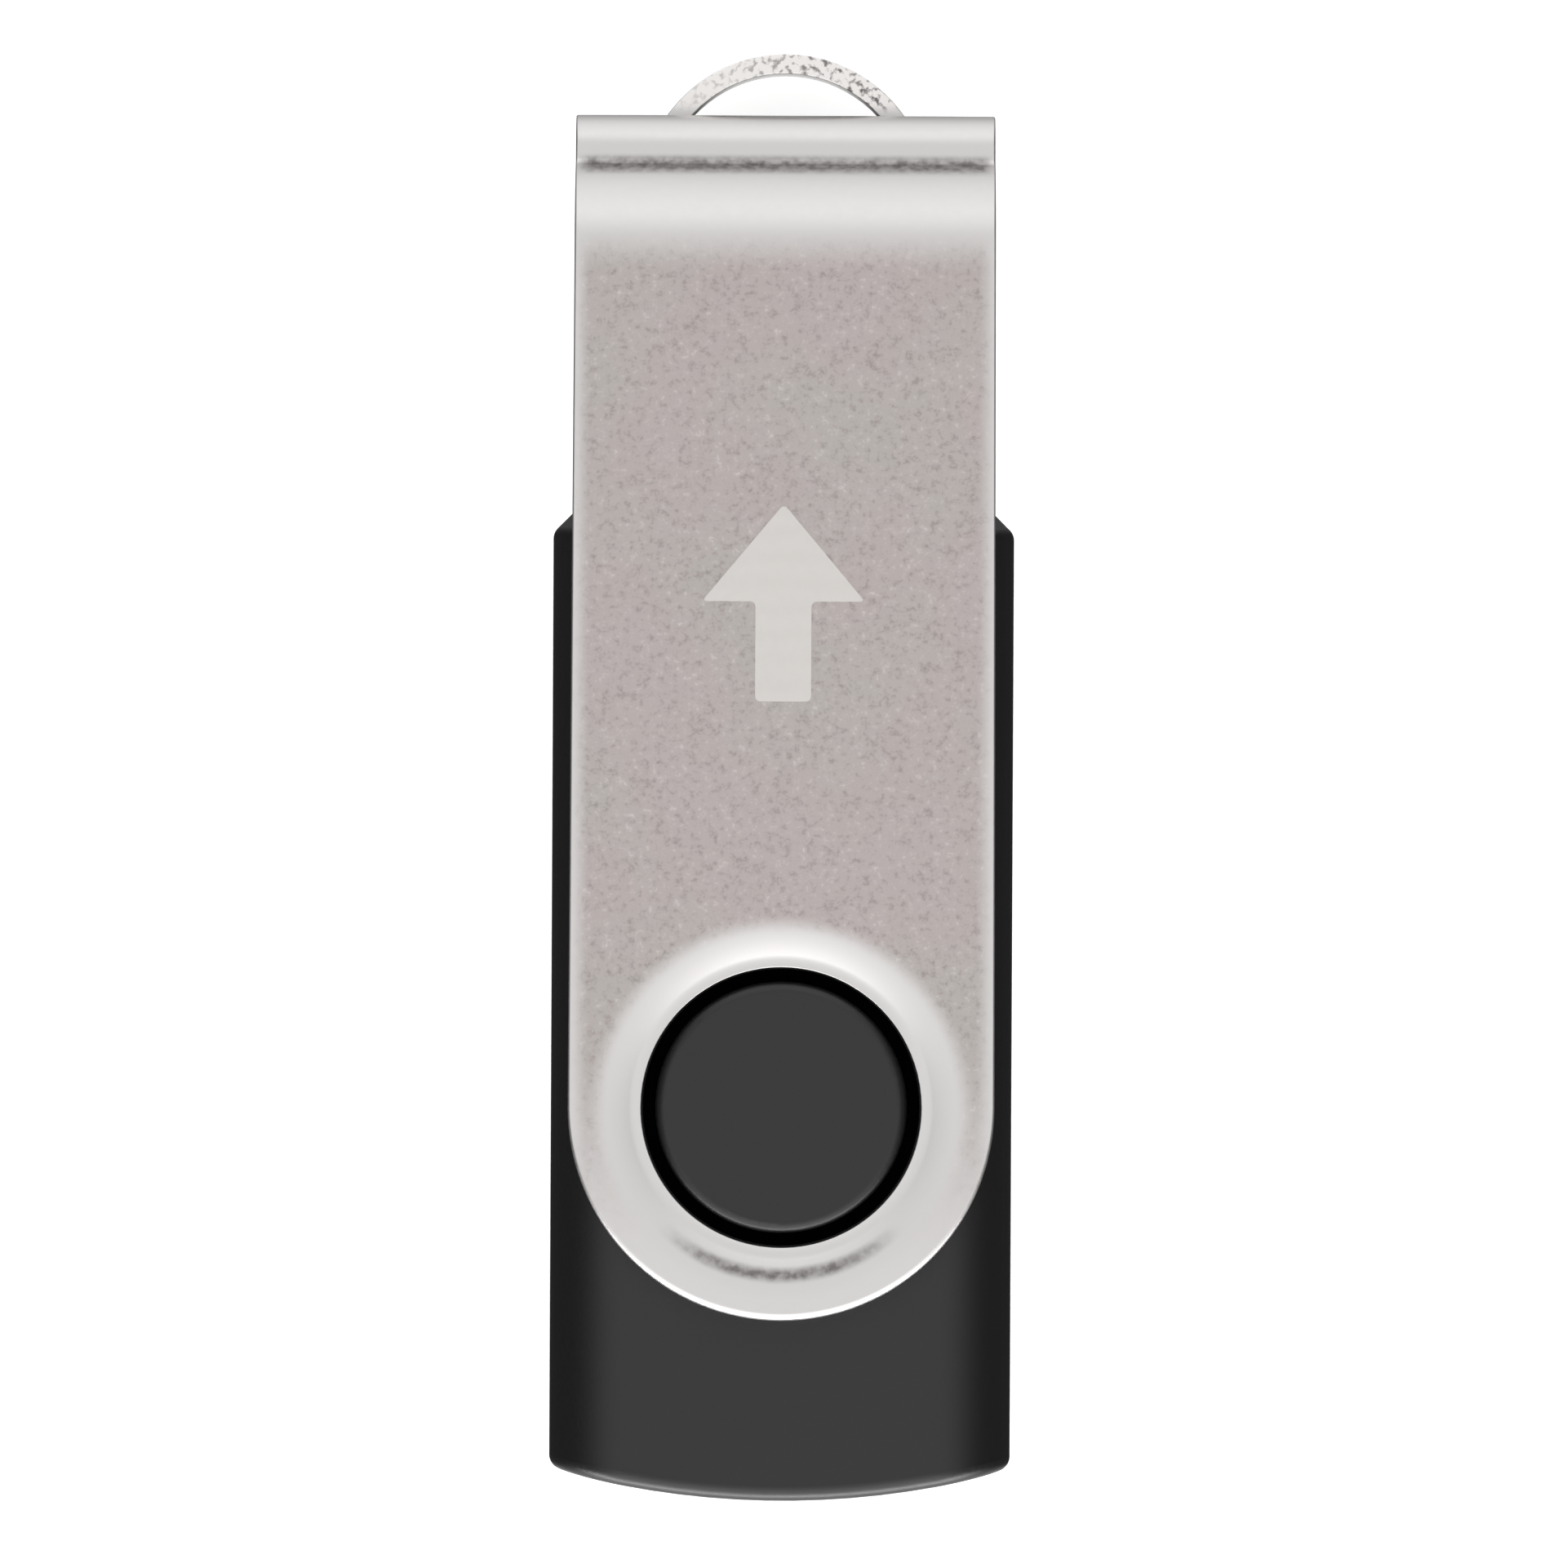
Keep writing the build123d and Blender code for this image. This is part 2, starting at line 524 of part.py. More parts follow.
def led_lens():
    """Clear resin block on the indicator's base."""
    top = LED_BASE_HEIGHT + LED_LENS_HEIGHT
    lens = slab(LED_SIZE[0] - 2 * LED_LENS_MARGIN, LED_SIZE[1], LED_BASE_HEIGHT, top)
    return chamfer(lens.faces().sort_by(Axis.Z)[-1].edges(), LED_LENS_HEIGHT / 4)


PIECES = {
    "swivel_clip": swivel_clip(),
    "front_housing": front_housing(),
    "rear_housing": rear_housing(),
    "plug_shell": plug_shell(),
    "plug_insulator": plug_insulator(),
    "circuit_board": circuit_board(),
    "contact_solder": contact_solder(),
    "tab_solder": tab_solder(),
    "memory_chip": underneath(*MEMORY_PLACE) * chip_body(MEMORY_BODY),
    "memory_chip_leads": underneath(*MEMORY_PLACE) * memory_leads(),
    "controller_chip": on_top(*CONTROLLER_PLACE) * chip_body(CONTROLLER_BODY),
    "controller_chip_leads": on_top(*CONTROLLER_PLACE) * controller_leads(),
    "crystal_base": on_top(*CRYSTAL_PLACE) * slab(*CRYSTAL_SIZE, 0, CRYSTAL_BASE_HEIGHT),
    "crystal_lid": on_top(*CRYSTAL_PLACE) * crystal_lid(),
    "capacitor_bodies": small_bodies(CAPACITOR_PLACES, CAPACITOR_HEIGHT, 0),
    "capacitor_terminals": small_terminals(CAPACITOR_PLACES, CAPACITOR_HEIGHT, 0),
    "resistor_bodies": small_bodies(RESISTOR_PLACES, RESISTOR_HEIGHT, 90),
    "resistor_terminals": small_terminals(RESISTOR_PLACES, RESISTOR_HEIGHT, 90),
    "led_base": on_top(*LED_PLACE) * slab(*LED_SIZE, 0, LED_BASE_HEIGHT),
    "led_lens": on_top(*LED_PLACE) * led_lens(),
}
for contact_name in CONTACT_PLACES:
    PIECES[f"contact_{contact_name}"] = contact(contact_name)

os.makedirs("parts", exist_ok=True)
for piece_name, piece in PIECES.items():
    export_step(Pos(*PIVOT_PLACE) * piece, f"parts/{piece_name}.step")
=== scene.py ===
import json
import math

import bmesh
import bpy
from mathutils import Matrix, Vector


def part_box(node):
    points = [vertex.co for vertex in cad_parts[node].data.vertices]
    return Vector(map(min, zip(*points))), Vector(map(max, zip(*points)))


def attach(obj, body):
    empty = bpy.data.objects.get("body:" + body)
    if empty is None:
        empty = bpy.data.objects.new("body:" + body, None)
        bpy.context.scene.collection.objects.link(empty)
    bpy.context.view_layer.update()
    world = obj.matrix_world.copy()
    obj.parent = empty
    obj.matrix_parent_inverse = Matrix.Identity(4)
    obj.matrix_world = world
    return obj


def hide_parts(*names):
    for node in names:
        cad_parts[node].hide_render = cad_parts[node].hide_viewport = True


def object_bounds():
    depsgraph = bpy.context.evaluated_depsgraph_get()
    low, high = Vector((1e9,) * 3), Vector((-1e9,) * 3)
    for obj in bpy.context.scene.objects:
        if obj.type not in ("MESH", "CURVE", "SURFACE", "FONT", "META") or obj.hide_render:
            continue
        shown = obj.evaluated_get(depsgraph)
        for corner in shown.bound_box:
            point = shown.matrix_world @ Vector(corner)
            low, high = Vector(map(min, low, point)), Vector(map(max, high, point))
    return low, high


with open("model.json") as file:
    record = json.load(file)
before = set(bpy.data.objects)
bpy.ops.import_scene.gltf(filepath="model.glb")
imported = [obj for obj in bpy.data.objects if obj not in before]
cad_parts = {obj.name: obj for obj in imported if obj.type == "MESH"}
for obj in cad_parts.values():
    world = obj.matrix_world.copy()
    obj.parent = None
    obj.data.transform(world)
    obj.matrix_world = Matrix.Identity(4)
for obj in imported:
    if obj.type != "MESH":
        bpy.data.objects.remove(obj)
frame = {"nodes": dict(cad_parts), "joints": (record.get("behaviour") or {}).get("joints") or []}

cad_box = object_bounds()
MM = 0.001
PIVOT = Vector(frame["joints"][0]["pos_m"])

# ---- Camera ---------------------------------------------------------------------------------------
# A product shot from straight above with a very long lens, so that the drive is seen almost without
# perspective. The drive lies a quarter of a degree askew in the picture.
LENS_MM = 400.0
FRAME_HEIGHT = 64.77 * MM  # what the picture's long side covers at the height of the pivot's middle
AIM = PIVOT + Vector((0.036, 13.267, 0)) * MM
ROLL_DEGREES = 0.28

camera_data = bpy.data.cameras.new("product_camera")
camera_data.lens = LENS_MM
camera_data.clip_end = 10.0
camera = bpy.data.objects.new("product_camera", camera_data)
camera.location = AIM + Vector((0, 0, FRAME_HEIGHT * LENS_MM / camera_data.sensor_width))
camera.rotation_euler = (0, 0, math.radians(ROLL_DEGREES))
bpy.context.scene.collection.objects.link(camera)
bpy.context.scene.camera = camera


# ---- Light tent -----------------------------------------------------------------------------------
# A white tent round the drive: grey overhead, bright walls before and behind, and dark flags low down on
# the left and right, which keep the sides of the black housing dark. A narrow strip of light along the
# front wall's horizon draws the thin highlights on edges that face it. The camera sees a pale backdrop.
# Each wall is a list of (height, brightness): 0 is straight down, 0.5 the horizon and 1 overhead.
WALL_BEHIND = [
    (0.0, 0.3), (0.25, 0.7), (0.45, 1.15), (0.75, 1.35),
    (0.9, 1.6), (0.97, 1.0), (1.0, 0.75),
]
WALL_BEFORE = [
    (0.42, 1.2), (0.5, 15.0), (0.56, 15.0), (0.62, 1.8),
    (0.78, 1.6), (0.87, 3.0), (0.96, 1.15), (1.0, 0.75),
]
WALL_BESIDE = [
    (0.0, 0.04), (0.3, 0.08), (0.5, 0.08), (0.6, 0.02),
    (0.82, 0.33), (0.89, 0.8), (0.94, 0.85), (1.0, 0.75),
]
BACKDROP = 0.94


def linear(text):
    """Linear colour of an sRGB hex value."""
    shares = [int(text[i : i + 2], 16) / 255 for i in (1, 3, 5)]
    return [s / 12.92 if s <= 0.04045 else ((s + 0.055) / 1.055) ** 2.4 for s in shares] + [1.0]


def add(tree, kind, inputs=None, **settings):
    """Adds a node with its settings; an input takes a value, a socket, or a node's first live output."""
    made = tree.nodes.new(kind)
    for name, value in settings.items():
        setattr(made, name, value)
    for key, value in (inputs or {}).items():
        if isinstance(value, bpy.types.Node):
            value = next(output for output in value.outputs if output.enabled)
        if isinstance(value, bpy.types.NodeSocket):
            tree.links.new(value, made.inputs[key])
        else:
            made.inputs[key].default_value = value
    return made


world = bpy.data.worlds.new("light_tent")
bpy.context.scene.world = world
world.use_nodes = True
sky = world.node_tree
sky.nodes.clear()
towards = add(sky, "ShaderNodeTexCoord").outputs["Generated"]
height = add(sky, "ShaderNodeSeparateXYZ", {0: towards}).outputs["Z"]
height = add(sky, "ShaderNodeMapRange", {0: height, 1: -1.0, 2: 1.0})
walls = []
for stops in (WALL_BEHIND, WALL_BEFORE, WALL_BESIDE):
    wall = add(sky, "ShaderNodeValToRGB", {0: height})
    points = wall.color_ramp.elements
    while len(points) < len(stops):
        points.new(0.5)
    for point, (place, level) in zip(points, stops):
        point.position = place
        point.color = (level, level, level, 1)
    walls.append(wall)
compass = add(sky, "ShaderNodeVectorMath", {0: towards, 1: (1, 1, 0)}, operation="MULTIPLY")
compass = add(sky, "ShaderNodeVectorMath", {0: compass}, operation="NORMALIZE")
compass = add(sky, "ShaderNodeSeparateXYZ", {0: compass})
fore = {0: compass.outputs["Y"], 1: 0.4, 2: -0.4}
fore = add(sky, "ShaderNodeMapRange", fore, interpolation_type="SMOOTHSTEP")
lengthways = add(sky, "ShaderNodeMix", {0: fore, 6: walls[0], 7: walls[1]}, data_type="RGBA")
sideways = add(sky, "ShaderNodeMath", {0: compass.outputs["X"]}, operation="ABSOLUTE")
sideways = add(sky, "ShaderNodeMapRange", {0: sideways, 1: 0.5, 2: 0.9}, interpolation_type="SMOOTHSTEP")
tent = add(sky, "ShaderNodeMix", {0: sideways, 6: lengthways, 7: walls[2]}, data_type="RGBA")
seen = add(sky, "ShaderNodeLightPath").outputs["Is Camera Ray"]
tent = add(sky, "ShaderNodeMix", {0: seen, 6: tent, 7: [BACKDROP] * 3 + [1]}, data_type="RGBA")
add(sky, "ShaderNodeOutputWorld", {0: add(sky, "ShaderNodeBackground", {0: tent, 1: 1.0})})


# ---- Soft box -------------------------------------------------------------------------------------
# One large soft box high above the drive, at low power: the tent does most of the work.
BOX_HEIGHT = 1.6
BOX_SIZE = 1.4
BOX_WATTS = 1.0

box_data = bpy.data.lights.new("soft_box", "AREA")
box_data.shape = "SQUARE"
box_data.size = BOX_SIZE
box_data.energy = BOX_WATTS
soft_box = bpy.data.objects.new("soft_box", box_data)
soft_box.location = (0, -0.3, BOX_HEIGHT)
soft_box.rotation_euler = (math.radians(-10), 0, 0)
bpy.context.scene.collection.objects.link(soft_box)


# ---- Floor ----------------------------------------------------------------------------------------
# A sheet of plain white card, lit from below so that it stays white under the drive. It is left out of
# reflections, as the black flags would leave it.
FLOOR_SIZE = 6.0
FLOOR_GLOW = 0.52


def new_material(name):
    """Starts a material; gives it, its node tree and the place on the piece, in mm about the pivot."""
    made = bpy.data.materials.new(name)
    made.use_nodes = True
    tree = made.node_tree
    tree.nodes.clear()
    place = add(tree, "ShaderNodeTexCoord").outputs["Object"]
    place = add(tree, "ShaderNodeMapping", {0: place, 1: -PIVOT / MM, 3: Vector((1, 1, 1)) / MM})
    return made, tree, place.outputs[0]


def white_card():
    made, tree, place = new_material("white_card")
    fibre = add(tree, "ShaderNodeTexNoise", {"Vector": place, "Scale": 1 / 1.5, "Detail": 3.0})
    tone = {0: fibre, 6: linear("#f2f2f1"), 7: linear("#f6f6f6")}
    tone = add(tree, "ShaderNodeMix", tone, data_type="RGBA")
    shader = {"Base Color": tone, "Roughness": 0.8, "Emission Strength": FLOOR_GLOW}
    shader["Emission Color"] = linear("#ffffff")
    add(tree, "ShaderNodeOutputMaterial", {0: add(tree, "ShaderNodeBsdfPrincipled", shader)})
    return made


floor_shape = bmesh.new()
bmesh.ops.create_grid(floor_shape, x_segments=2, y_segments=2, size=FLOOR_SIZE / 2)
floor_mesh = bpy.data.meshes.new("floor_card")
floor_shape.to_mesh(floor_mesh)
floor_shape.free()
floor_mesh.materials.append(white_card())
floor = bpy.data.objects.new("floor_card", floor_mesh)
floor.location.z = cad_box[0].z - 0.02 * MM  # just clear of the rear plate
floor.visible_glossy = False
bpy.context.scene.collection.objects.link(floor)


# ---- Housing shells -------------------------------------------------------------------------------
# Two injection moulded ABS half shells, snapped together round the board; the round buttons that the
# clip turns on are part of them. The mould is finely spark eroded, so black ABS looks soft and dark grey.
ABS_IOR = 1.5
SPARK_GRAIN = 0.13
BUTTON_RADIUS = 5.15
GROOVE_RADIUS = 5.8
HOUSING_FACE = 4.2


def moulded_black_abs():
    """A matt skin of fine pits; the groove that the clip turns in carries painted shade: near-black, with no
    specular.
    """
    made, tree, place = new_material("moulded_black_abs")
    grain = add(tree, "ShaderNodeTexNoise", {"Vector": place, "Scale": 1 / SPARK_GRAIN, "Detail": 3.0})
    flow = add(tree, "ShaderNodeTexNoise", {"Vector": place, "Scale": 1 / 9, "Detail": 1.0})
    tone = {0: flow, 6: linear("#0b0a0c"), 7: linear("#0e0d0f")}
    tone = add(tree, "ShaderNodeMix", tone, data_type="RGBA")
    flat = add(tree, "ShaderNodeVectorMath", {0: place, 1: (1, 1, 0)}, operation="MULTIPLY")
    radius = add(tree, "ShaderNodeVectorMath", {0: flat}, operation="LENGTH").outputs["Value"]
    outside = add(tree, "ShaderNodeMapRange", {0: radius, 1: BUTTON_RADIUS - 0.01, 2: BUTTON_RADIUS + 0.01})
    inside = add(tree, "ShaderNodeMapRange", {0: radius, 1: GROOVE_RADIUS, 2: GROOVE_RADIUS - 0.02})
    groove_shade = add(tree, "ShaderNodeMath", {0: outside, 1: inside}, operation="MULTIPLY")
    rise = add(tree, "ShaderNodeSeparateXYZ", {0: place}).outputs["Z"]
    rise = add(tree, "ShaderNodeMath", {0: rise}, operation="ABSOLUTE")
    rise = add(tree, "ShaderNodeMapRange", {0: rise, 1: HOUSING_FACE, 2: HOUSING_FACE + 0.02})
    groove_shade = add(tree, "ShaderNodeMath", {0: groove_shade, 1: rise}, operation="MULTIPLY")
    # Painted shade: the groove between the button and the clip's hole is made near-black, and below its
    # specular is tinted out.
    tone = add(tree, "ShaderNodeMix", {0: groove_shade, 6: tone, 7: linear("#010101")}, data_type="RGBA")
    tint = {0: groove_shade, 6: linear("#ffffff"), 7: linear("#000000")}
    tint = add(tree, "ShaderNodeMix", tint, data_type="RGBA")
    rough = add(tree, "ShaderNodeMapRange", {0: grain, 3: 0.36, 4: 0.48})
    rough = add(tree, "ShaderNodeMath", {0: rough, 1: groove_shade}, operation="MAXIMUM")
    pits = add(tree, "ShaderNodeBump", {"Height": grain, "Distance": 0.01 * MM, "Strength": 0.3})
    shader = {"Base Color": tone, "Roughness": rough, "IOR": ABS_IOR, "Normal": pits, "Specular Tint": tint}
    add(tree, "ShaderNodeOutputMaterial", {0: add(tree, "ShaderNodeBsdfPrincipled", shader)})
    return made


def dress(material, *nodes):
    """Gives CAD nodes a material."""
    for name in nodes:
        mesh = frame["nodes"][name].data
        mesh.materials.clear()
        mesh.materials.append(material)


dress(moulded_black_abs(), "front_housing", "rear_housing")


# ---- Swivel clip ----------------------------------------------------------------------------------
# One strip of stainless steel, pierced and dished round both holes, then folded over the housing. A
# tongue of its end wall is lanced and pressed out as the key loop. Its rims are tumbled round and its
# plates are blasted with glass beads.
SHEET = 0.8
PLATE_MIDDLE = (cad_box[1].z - cad_box[0].z) / 2 / MM - SHEET / 2  # middle of the sheet over the pivot
PLATE_RADIUS = 8.75
NECK_HALF_WIDTH = 8.625
CLIP_REACH = 40.8
SHOULDER_RADIUS = 3.3
NECK_RADIUS = 0.75
NECK_STEP = 2.25
NECK_FLAT = 0.47
END_RADIUS = 0.9
HOLE_RADIUS = 5.75
DISH_WIDTH = 2.1
DISH_DEPTH = 0.36
DISH_BEND = (DISH_WIDTH**2 + DISH_DEPTH**2) / (2 * DISH_DEPTH)
LOOP_RISE = 2.55
LOOP_SPAN = 9.8
LOOP_WIDTH = 3.0
RIM_ROUND = 0.32
RIM_ANGLE = math.radians(50)  # sharper edges than this are rims
SIDE_SHARE = 0.3  # roundness of the long sides' rims, as a share of the pivot end's
SHARP_EDGE_SHARE = 0.15  # the same for the holes and for the lanced loop
WALL_Y = CLIP_REACH - SHEET / 2
LOOP_RADIUS = ((LOOP_SPAN / 2) ** 2 + LOOP_RISE**2) / (2 * LOOP_RISE) - SHEET / 2
LOOP_CENTRE = CLIP_REACH + LOOP_RISE - SHEET / 2 - LOOP_RADIUS
LOOP_ANGLE = math.acos((WALL_Y - LOOP_CENTRE) / LOOP_RADIUS)
FOOT = LOOP_RADIUS * math.sin(LOOP_ANGLE)
STEPS_BESIDE_LOOP = 4
STEPS_OVER_LOOP = 24
STEPS_UP_SIDE = 12  # from the pivot's line to where the straight strip begins
STEPS_ROUND_END = 64
HOLE_EDGE = 0.2  # points nearer the hole than this are on its edge
WELD = 1e-4  # points this close are one
BEAD_GRAIN = 0.28
CREASE_SHADE_PLACE = 38.72  # the crease between the shoulder and the neck
DISH_SHADE_RADIUS = 6.88  # partway down the dish


def half_width(y):
    """Half of the clip's width, which tapers evenly to the neck."""
    return PLATE_RADIUS + (NECK_HALF_WIDTH - PLATE_RADIUS) * max(y, 0) / CLIP_REACH


def columns():
    """Shares of the half width at which the strip's long lines run; two of them meet the loop's feet."""
    foot = FOOT / half_width(WALL_Y)
    outer = [1 - (1 - foot) * i / STEPS_BESIDE_LOOP for i in range(STEPS_BESIDE_LOOP)]
    inner = [foot * (1 - 2 * i / STEPS_OVER_LOOP) for i in range(STEPS_OVER_LOOP + 1)]
    return outer + inner + [-column for column in reversed(outer)]


def arc(start_y, start_z, radius, first, last, steps):
    """Points of a bend in the side view, between two slopes; slopes fall towards the clip's end."""
    side = 1 if last > first else -1
    points = []
    for i in range(1, steps + 1):
        slope = first + (last - first) * i / steps
        y = start_y + side * radius * (math.sin(slope) - math.sin(first))
        z = start_z + side * radius * (math.cos(slope) - math.cos(first))
        points.append((y, z))
    return points


def clip_line():
    """Middle of the sheet in the side view, from the straight strip's start to the loop's cut."""
    turn = math.acos(1 - NECK_STEP / (SHOULDER_RADIUS + NECK_RADIUS))
    bend = WALL_Y - END_RADIUS
    shoulder = bend - NECK_FLAT - (SHOULDER_RADIUS + NECK_RADIUS) * math.sin(turn)
    line = [(PLATE_RADIUS + (shoulder - PLATE_RADIUS) * i / 12, PLATE_MIDDLE) for i in range(13)]
    line += arc(*line[-1], SHOULDER_RADIUS, 0, turn, 18)
    line += arc(*line[-1], NECK_RADIUS, turn, 0, 12)
    line.append((bend, PLATE_MIDDLE - NECK_STEP))
    line += arc(*line[-1], END_RADIUS, 0, math.pi / 2, 12)
    line.append((WALL_Y, LOOP_WIDTH / 2))
    return line


def dish_depth(radius):
    """How far the sheet lies below the plate near the hole: one even curl."""
    into = max(HOLE_RADIUS + DISH_WIDTH - radius, 0)
    return DISH_BEND - math.sqrt(DISH_BEND**2 - into**2)


def plate_outline():
    """Points round the pivot end, counter-clockwise from +X: a side, across the strip, a side, the end."""
    rise = [PLATE_RADIUS * i / STEPS_UP_SIDE for i in range(STEPS_UP_SIDE)]
    right = [(half_width(y), y) for y in rise]
    across = [(column * half_width(PLATE_RADIUS), PLATE_RADIUS) for column in columns()]
    left = [(-half_width(y), y) for y in reversed(rise)]
    angles = [math.pi * (1 + i / STEPS_ROUND_END) for i in range(1, STEPS_ROUND_END)]
    end = [(PLATE_RADIUS * math.cos(a), PLATE_RADIUS * math.sin(a)) for a in angles]
    return right + across + left + end


def add_grid(shape, rows, closed=False):
    """Fills a grid of points with faces."""
    made = [[shape.verts.new(point) for point in row] for row in rows]
    for low, high in zip(made, made[1:]):
        last = len(low) if closed else len(low) - 1
        for i in range(last):
            j = (i + 1) % len(low)
            shape.faces.new((low[i], low[j], high[j], high[i]))


def dished_end(side):
    """Rings from the hole, over the dish, to the outline round the pivot."""
    rings = [HOLE_RADIUS + DISH_WIDTH * i / 14 for i in (0, *range(2, 15))]
    rows = []
    outline = plate_outline()
    for radius in rings:
        z = side * (PLATE_MIDDLE - dish_depth(radius))
        rows.append([(radius * x / math.hypot(x, y), radius * y / math.hypot(x, y), z) for x, y in outline])
    edge = [(x, y, side * PLATE_MIDDLE) for x, y in outline]
    dish_rim = rows[-1]
    for i in (1, 2):
        rows.append([Vector(a).lerp(Vector(b), i / 2) for a, b in zip(dish_rim, edge)])
    return rows


def clip_sheet():
    """The middle surface of the whole clip: front, end wall with the loop, and back."""
    shape = bmesh.new()
    for side in (1, -1):
        add_grid(shape, dished_end(side), closed=True)
        strip = [[(c * half_width(y), y, side * z) for c in columns()] for y, z in clip_line()]
        add_grid(shape, strip)
    cut = LOOP_WIDTH / 2
    band = [cut * (1 - i / 4) for i in range(9)]
    width = half_width(WALL_Y)
    beside = columns()[: STEPS_BESIDE_LOOP + 1]
    for hand in (1, -1):
        add_grid(shape, [[(hand * c * width, WALL_Y, z) for c in beside] for z in band])
    angles = [LOOP_ANGLE * (1 - 2 * i / STEPS_OVER_LOOP) for i in range(STEPS_OVER_LOOP + 1)]
    loop = [(LOOP_RADIUS * math.sin(a), LOOP_CENTRE + LOOP_RADIUS * math.cos(a)) for a in angles]
    add_grid(shape, [[(x, y, z) for x, y in loop] for z in band])
    bmesh.ops.remove_doubles(shape, verts=shape.verts, dist=WELD)
    bmesh.ops.recalc_face_normals(shape, faces=shape.faces)
    return shape


def new_piece(name, shape, material):
    """Object from a bmesh in mm about the pivot, placed in the row frame."""
    mesh = bpy.data.meshes.new(name)
    for vertex in shape.verts:
        vertex.co = PIVOT + vertex.co * MM
    shape.to_mesh(mesh)
    shape.free()
    mesh.materials.append(material)
    mesh.shade_smooth()
    made = bpy.data.objects.new(name, mesh)
    bpy.context.scene.collection.objects.link(made)
    return made


def finished(obj):
    """Turns a piece's modifiers into its mesh."""
    bpy.context.view_layer.update()
    mesh = bpy.data.meshes.new_from_object(obj.evaluated_get(bpy.context.evaluated_depsgraph_get()))
    obj.modifiers.clear()
    obj.data = mesh
    return obj


def straighten_hole(mesh):
    """Stands the wall of both holes upright, as they are pierced after the dish is pressed."""
    slope = math.tan(math.asin(DISH_WIDTH / DISH_BEND))
    for vertex in mesh.vertices:
        place = (vertex.co - PIVOT) / MM
        grow = HOLE_RADIUS - place.xy.length
        if grow > -HOLE_EDGE:
            place.z += math.copysign(slope * grow, place.z)
            place.xy = place.xy.normalized() * HOLE_RADIUS
            vertex.co = PIVOT + place * MM


def weigh_rims(mesh):
    """Marks the rims for rounding; the edges of the holes and of the lanced loop stay sharper."""
    shape = bmesh.new()
    shape.from_mesh(mesh)
    weights = shape.edges.layers.float.new("bevel_weight_edge")
    for edge in shape.edges:
        if len(edge.link_faces) == 2 and edge.calc_face_angle() > RIM_ANGLE:
            middle = (edge.verts[0].co + edge.verts[1].co) / 2 - PIVOT
            turned = middle.xy.length < (HOLE_RADIUS + HOLE_EDGE / 2) * MM
            lanced = middle.y > (WALL_Y - SHEET) * MM and abs(middle.z) < (LOOP_WIDTH / 2 + 0.1) * MM
            towards_end = min(max(-middle.y / (PLATE_RADIUS * MM), 0), 1)
            rim = SIDE_SHARE + (1 - SIDE_SHARE) * towards_end
            edge[weights] = SHARP_EDGE_SHARE if turned or lanced else rim
    shape.to_mesh(mesh)
    shape.free()


